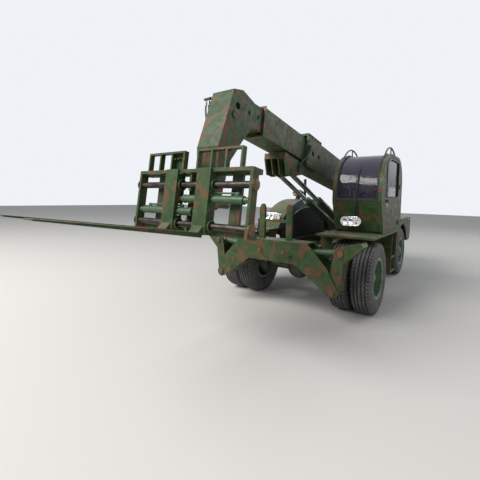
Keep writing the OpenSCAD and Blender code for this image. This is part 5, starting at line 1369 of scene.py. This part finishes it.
def pad(name, bm, swell, rest, channels):
    """A sewn pad, blown up by at most swell metres, with channels as (axis, place) pressed into it."""
    mesh = bpy.data.meshes.new(name + "_form")
    bm.to_mesh(mesh)
    bm.free()
    obj = bpy.data.objects.new(name, mesh)
    bpy.context.scene.collection.objects.link(obj)
    remesh = obj.modifiers.new("remesh", "REMESH")
    remesh.mode = "VOXEL"
    remesh.voxel_size = pad_voxel
    graph = bpy.context.evaluated_depsgraph_get()
    obj.data = bpy.data.meshes.new_from_object(obj.evaluated_get(graph))
    obj.data.name = name
    obj.modifiers.clear()
    cloth = obj.modifiers.new("cloth", "CLOTH")
    cloth.settings.use_pressure = True
    cloth.settings.uniform_pressure_force = pad_pressure
    cloth.settings.effector_weights.gravity = 0
    for number in range(1, pad_frames + 1):
        bpy.context.scene.frame_set(number)
    blown = obj.evaluated_get(bpy.context.evaluated_depsgraph_get())
    ends = [vert.co.copy() for vert in blown.data.vertices]
    obj.modifiers.clear()
    bpy.context.scene.frame_set(1)
    for vert, end in zip(obj.data.vertices, ends):
        move = end - vert.co
        vert.co += move * (swell / move.length) if move.length > swell else move
    bm = bmesh.new()
    bm.from_mesh(obj.data)
    bm.normal_update()
    for vert in bm.verts:
        press = sum(math.exp(-((vert.co[axis] - at) / channel_wide) ** 2) for axis, at in channels)
        vert.co -= vert.normal * channel_deep * min(1.0, press)
        vert.co = rest(vert.co)
    bm.to_mesh(obj.data)
    bm.free()
    obj.data.polygons.foreach_set("use_smooth", [True] * len(obj.data.polygons))
    obj.data.materials.clear()
    obj.data.materials.append(seat_vinyl)
    soft = obj.modifiers.new("soft", "SUBSURF")
    soft.levels = soft.render_levels = 1
    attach(obj, "chassis")
    pieces[name] = len(obj.data.polygons)
    return obj


# %% [markdown]
# The driver's seat has a cushion that lies flat on its pan and a backrest that leans back between two
# recline plates. Under the pan a folded bellows hides the spring: blocks of two sizes in turn.

# %% Driver's seat
def rounded_block(low, high, edge):
    """A block with round edges, from which a pad is blown up."""
    return break_edges(block(low, high, 0), edge, 4)


pan_z = 1.520
cushion_form = rounded_block((0.655, 0.952, pan_z + 0.004), (1.115, 1.410, 1.622), 0.034)
cushion = pad("seat_cushion", cushion_form, 0.014, lambda p: Vector((p.x, p.y, max(p.z, pan_z + 0.001))),
              [(0, 0.775), (0, 0.995), (1, 1.330)])
back_form = rounded_block((0.663, -0.040, 0.0), (1.107, 0.046, 0.560), 0.030)
lean = Matrix.Translation((0, 1.375, 1.650)) @ Matrix.Rotation(math.radians(-11), 4, "X")
bmesh.ops.transform(back_form, matrix=lean, verts=back_form.verts)
backrest = pad("seat_backrest", back_form, 0.012, lambda p: p, [(0, 0.785), (0, 0.985), (2, 2.050)])

foot_z, fold_high = 1.262, 0.038
pan_and_foot = [block((0.650, 0.945, 1.490), (1.120, 1.420, pan_z), 0.006),
                block((0.705, 1.010, 1.222), (1.065, 1.350, foot_z), 0.004)]
folds = [block((0.720 + d, 1.025 + d, foot_z + fold_high * k),
               (1.050 - d, 1.335 - d, foot_z + fold_high * (k + 1)), 0.010)
         for k, d in enumerate((0, 0.012, 0, 0.012, 0, 0.012))]
base = piece("seat_base", gather(pan_and_foot + folds), black_trim, "chassis")
recline_outline = [(-0.040, -0.060), (0.040, -0.060), (0.035, 0.120), (-0.020, 0.120)]
recline_plates = [aim(plate(recline_outline, 0.006, 0.001), (x, 1.385, 1.560), (1, 0, 0), math.pi / 2)
                  for x in (0.652, 1.112)]
recline = piece("seat_recline", gather(recline_plates), black_trim, "chassis")
for made in (cushion, backrest, base, recline):
    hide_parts("cab_seat")
print("seat pads:", pieces["seat_cushion"], pieces["seat_backrest"], "folds:", len(folds))

# %% [markdown]
# On the console beside the seat two levers end in round knobs and leave it through folded gaiters, with
# three chromed dials behind them. All are turned from short outlines.

# %% Lever knobs, gaiters and dials
lever_x, lever_ys = 0.580, (0.860, 0.930)
knob = [(0, 0), (0.010, 0.001), (0.016, 0.010), (0.020, 0.022), (0.020, 0.032), (0.015, 0.042),
        (0.008, 0.047), (0, 0.048)]
gaiter = [(0.034, 0), (0.036, 0.004), (0.026, 0.010), (0.030, 0.014), (0.021, 0.020), (0.024, 0.024),
          (0.015, 0.031), (0.012, 0.036), (0, 0.036)]
for name, outline, z, finish in (("lever_knobs", knob, 1.893, black_trim),
                                 ("lever_gaiters", gaiter, 1.7295, seal_rubber)):
    shapes = [aim(lathe(outline, 32), (lever_x, y, z)) for y in lever_ys]
    piece(name, gather(shapes), finish, "chassis")
dial = [(0.026, 0), (0.030, 0.001), (0.030, 0.008), (0.026, 0.010), (0.025, 0.006), (0, 0.006)]
dials = [aim(lathe(dial, 40), (0.582, y, 1.7300)) for y in (1.060, 1.135, 1.210)]
piece("console_dials", gather(dials), lamp_chrome, "chassis")
print("console:", len(lever_ys), "levers and", len(dials), "dials")
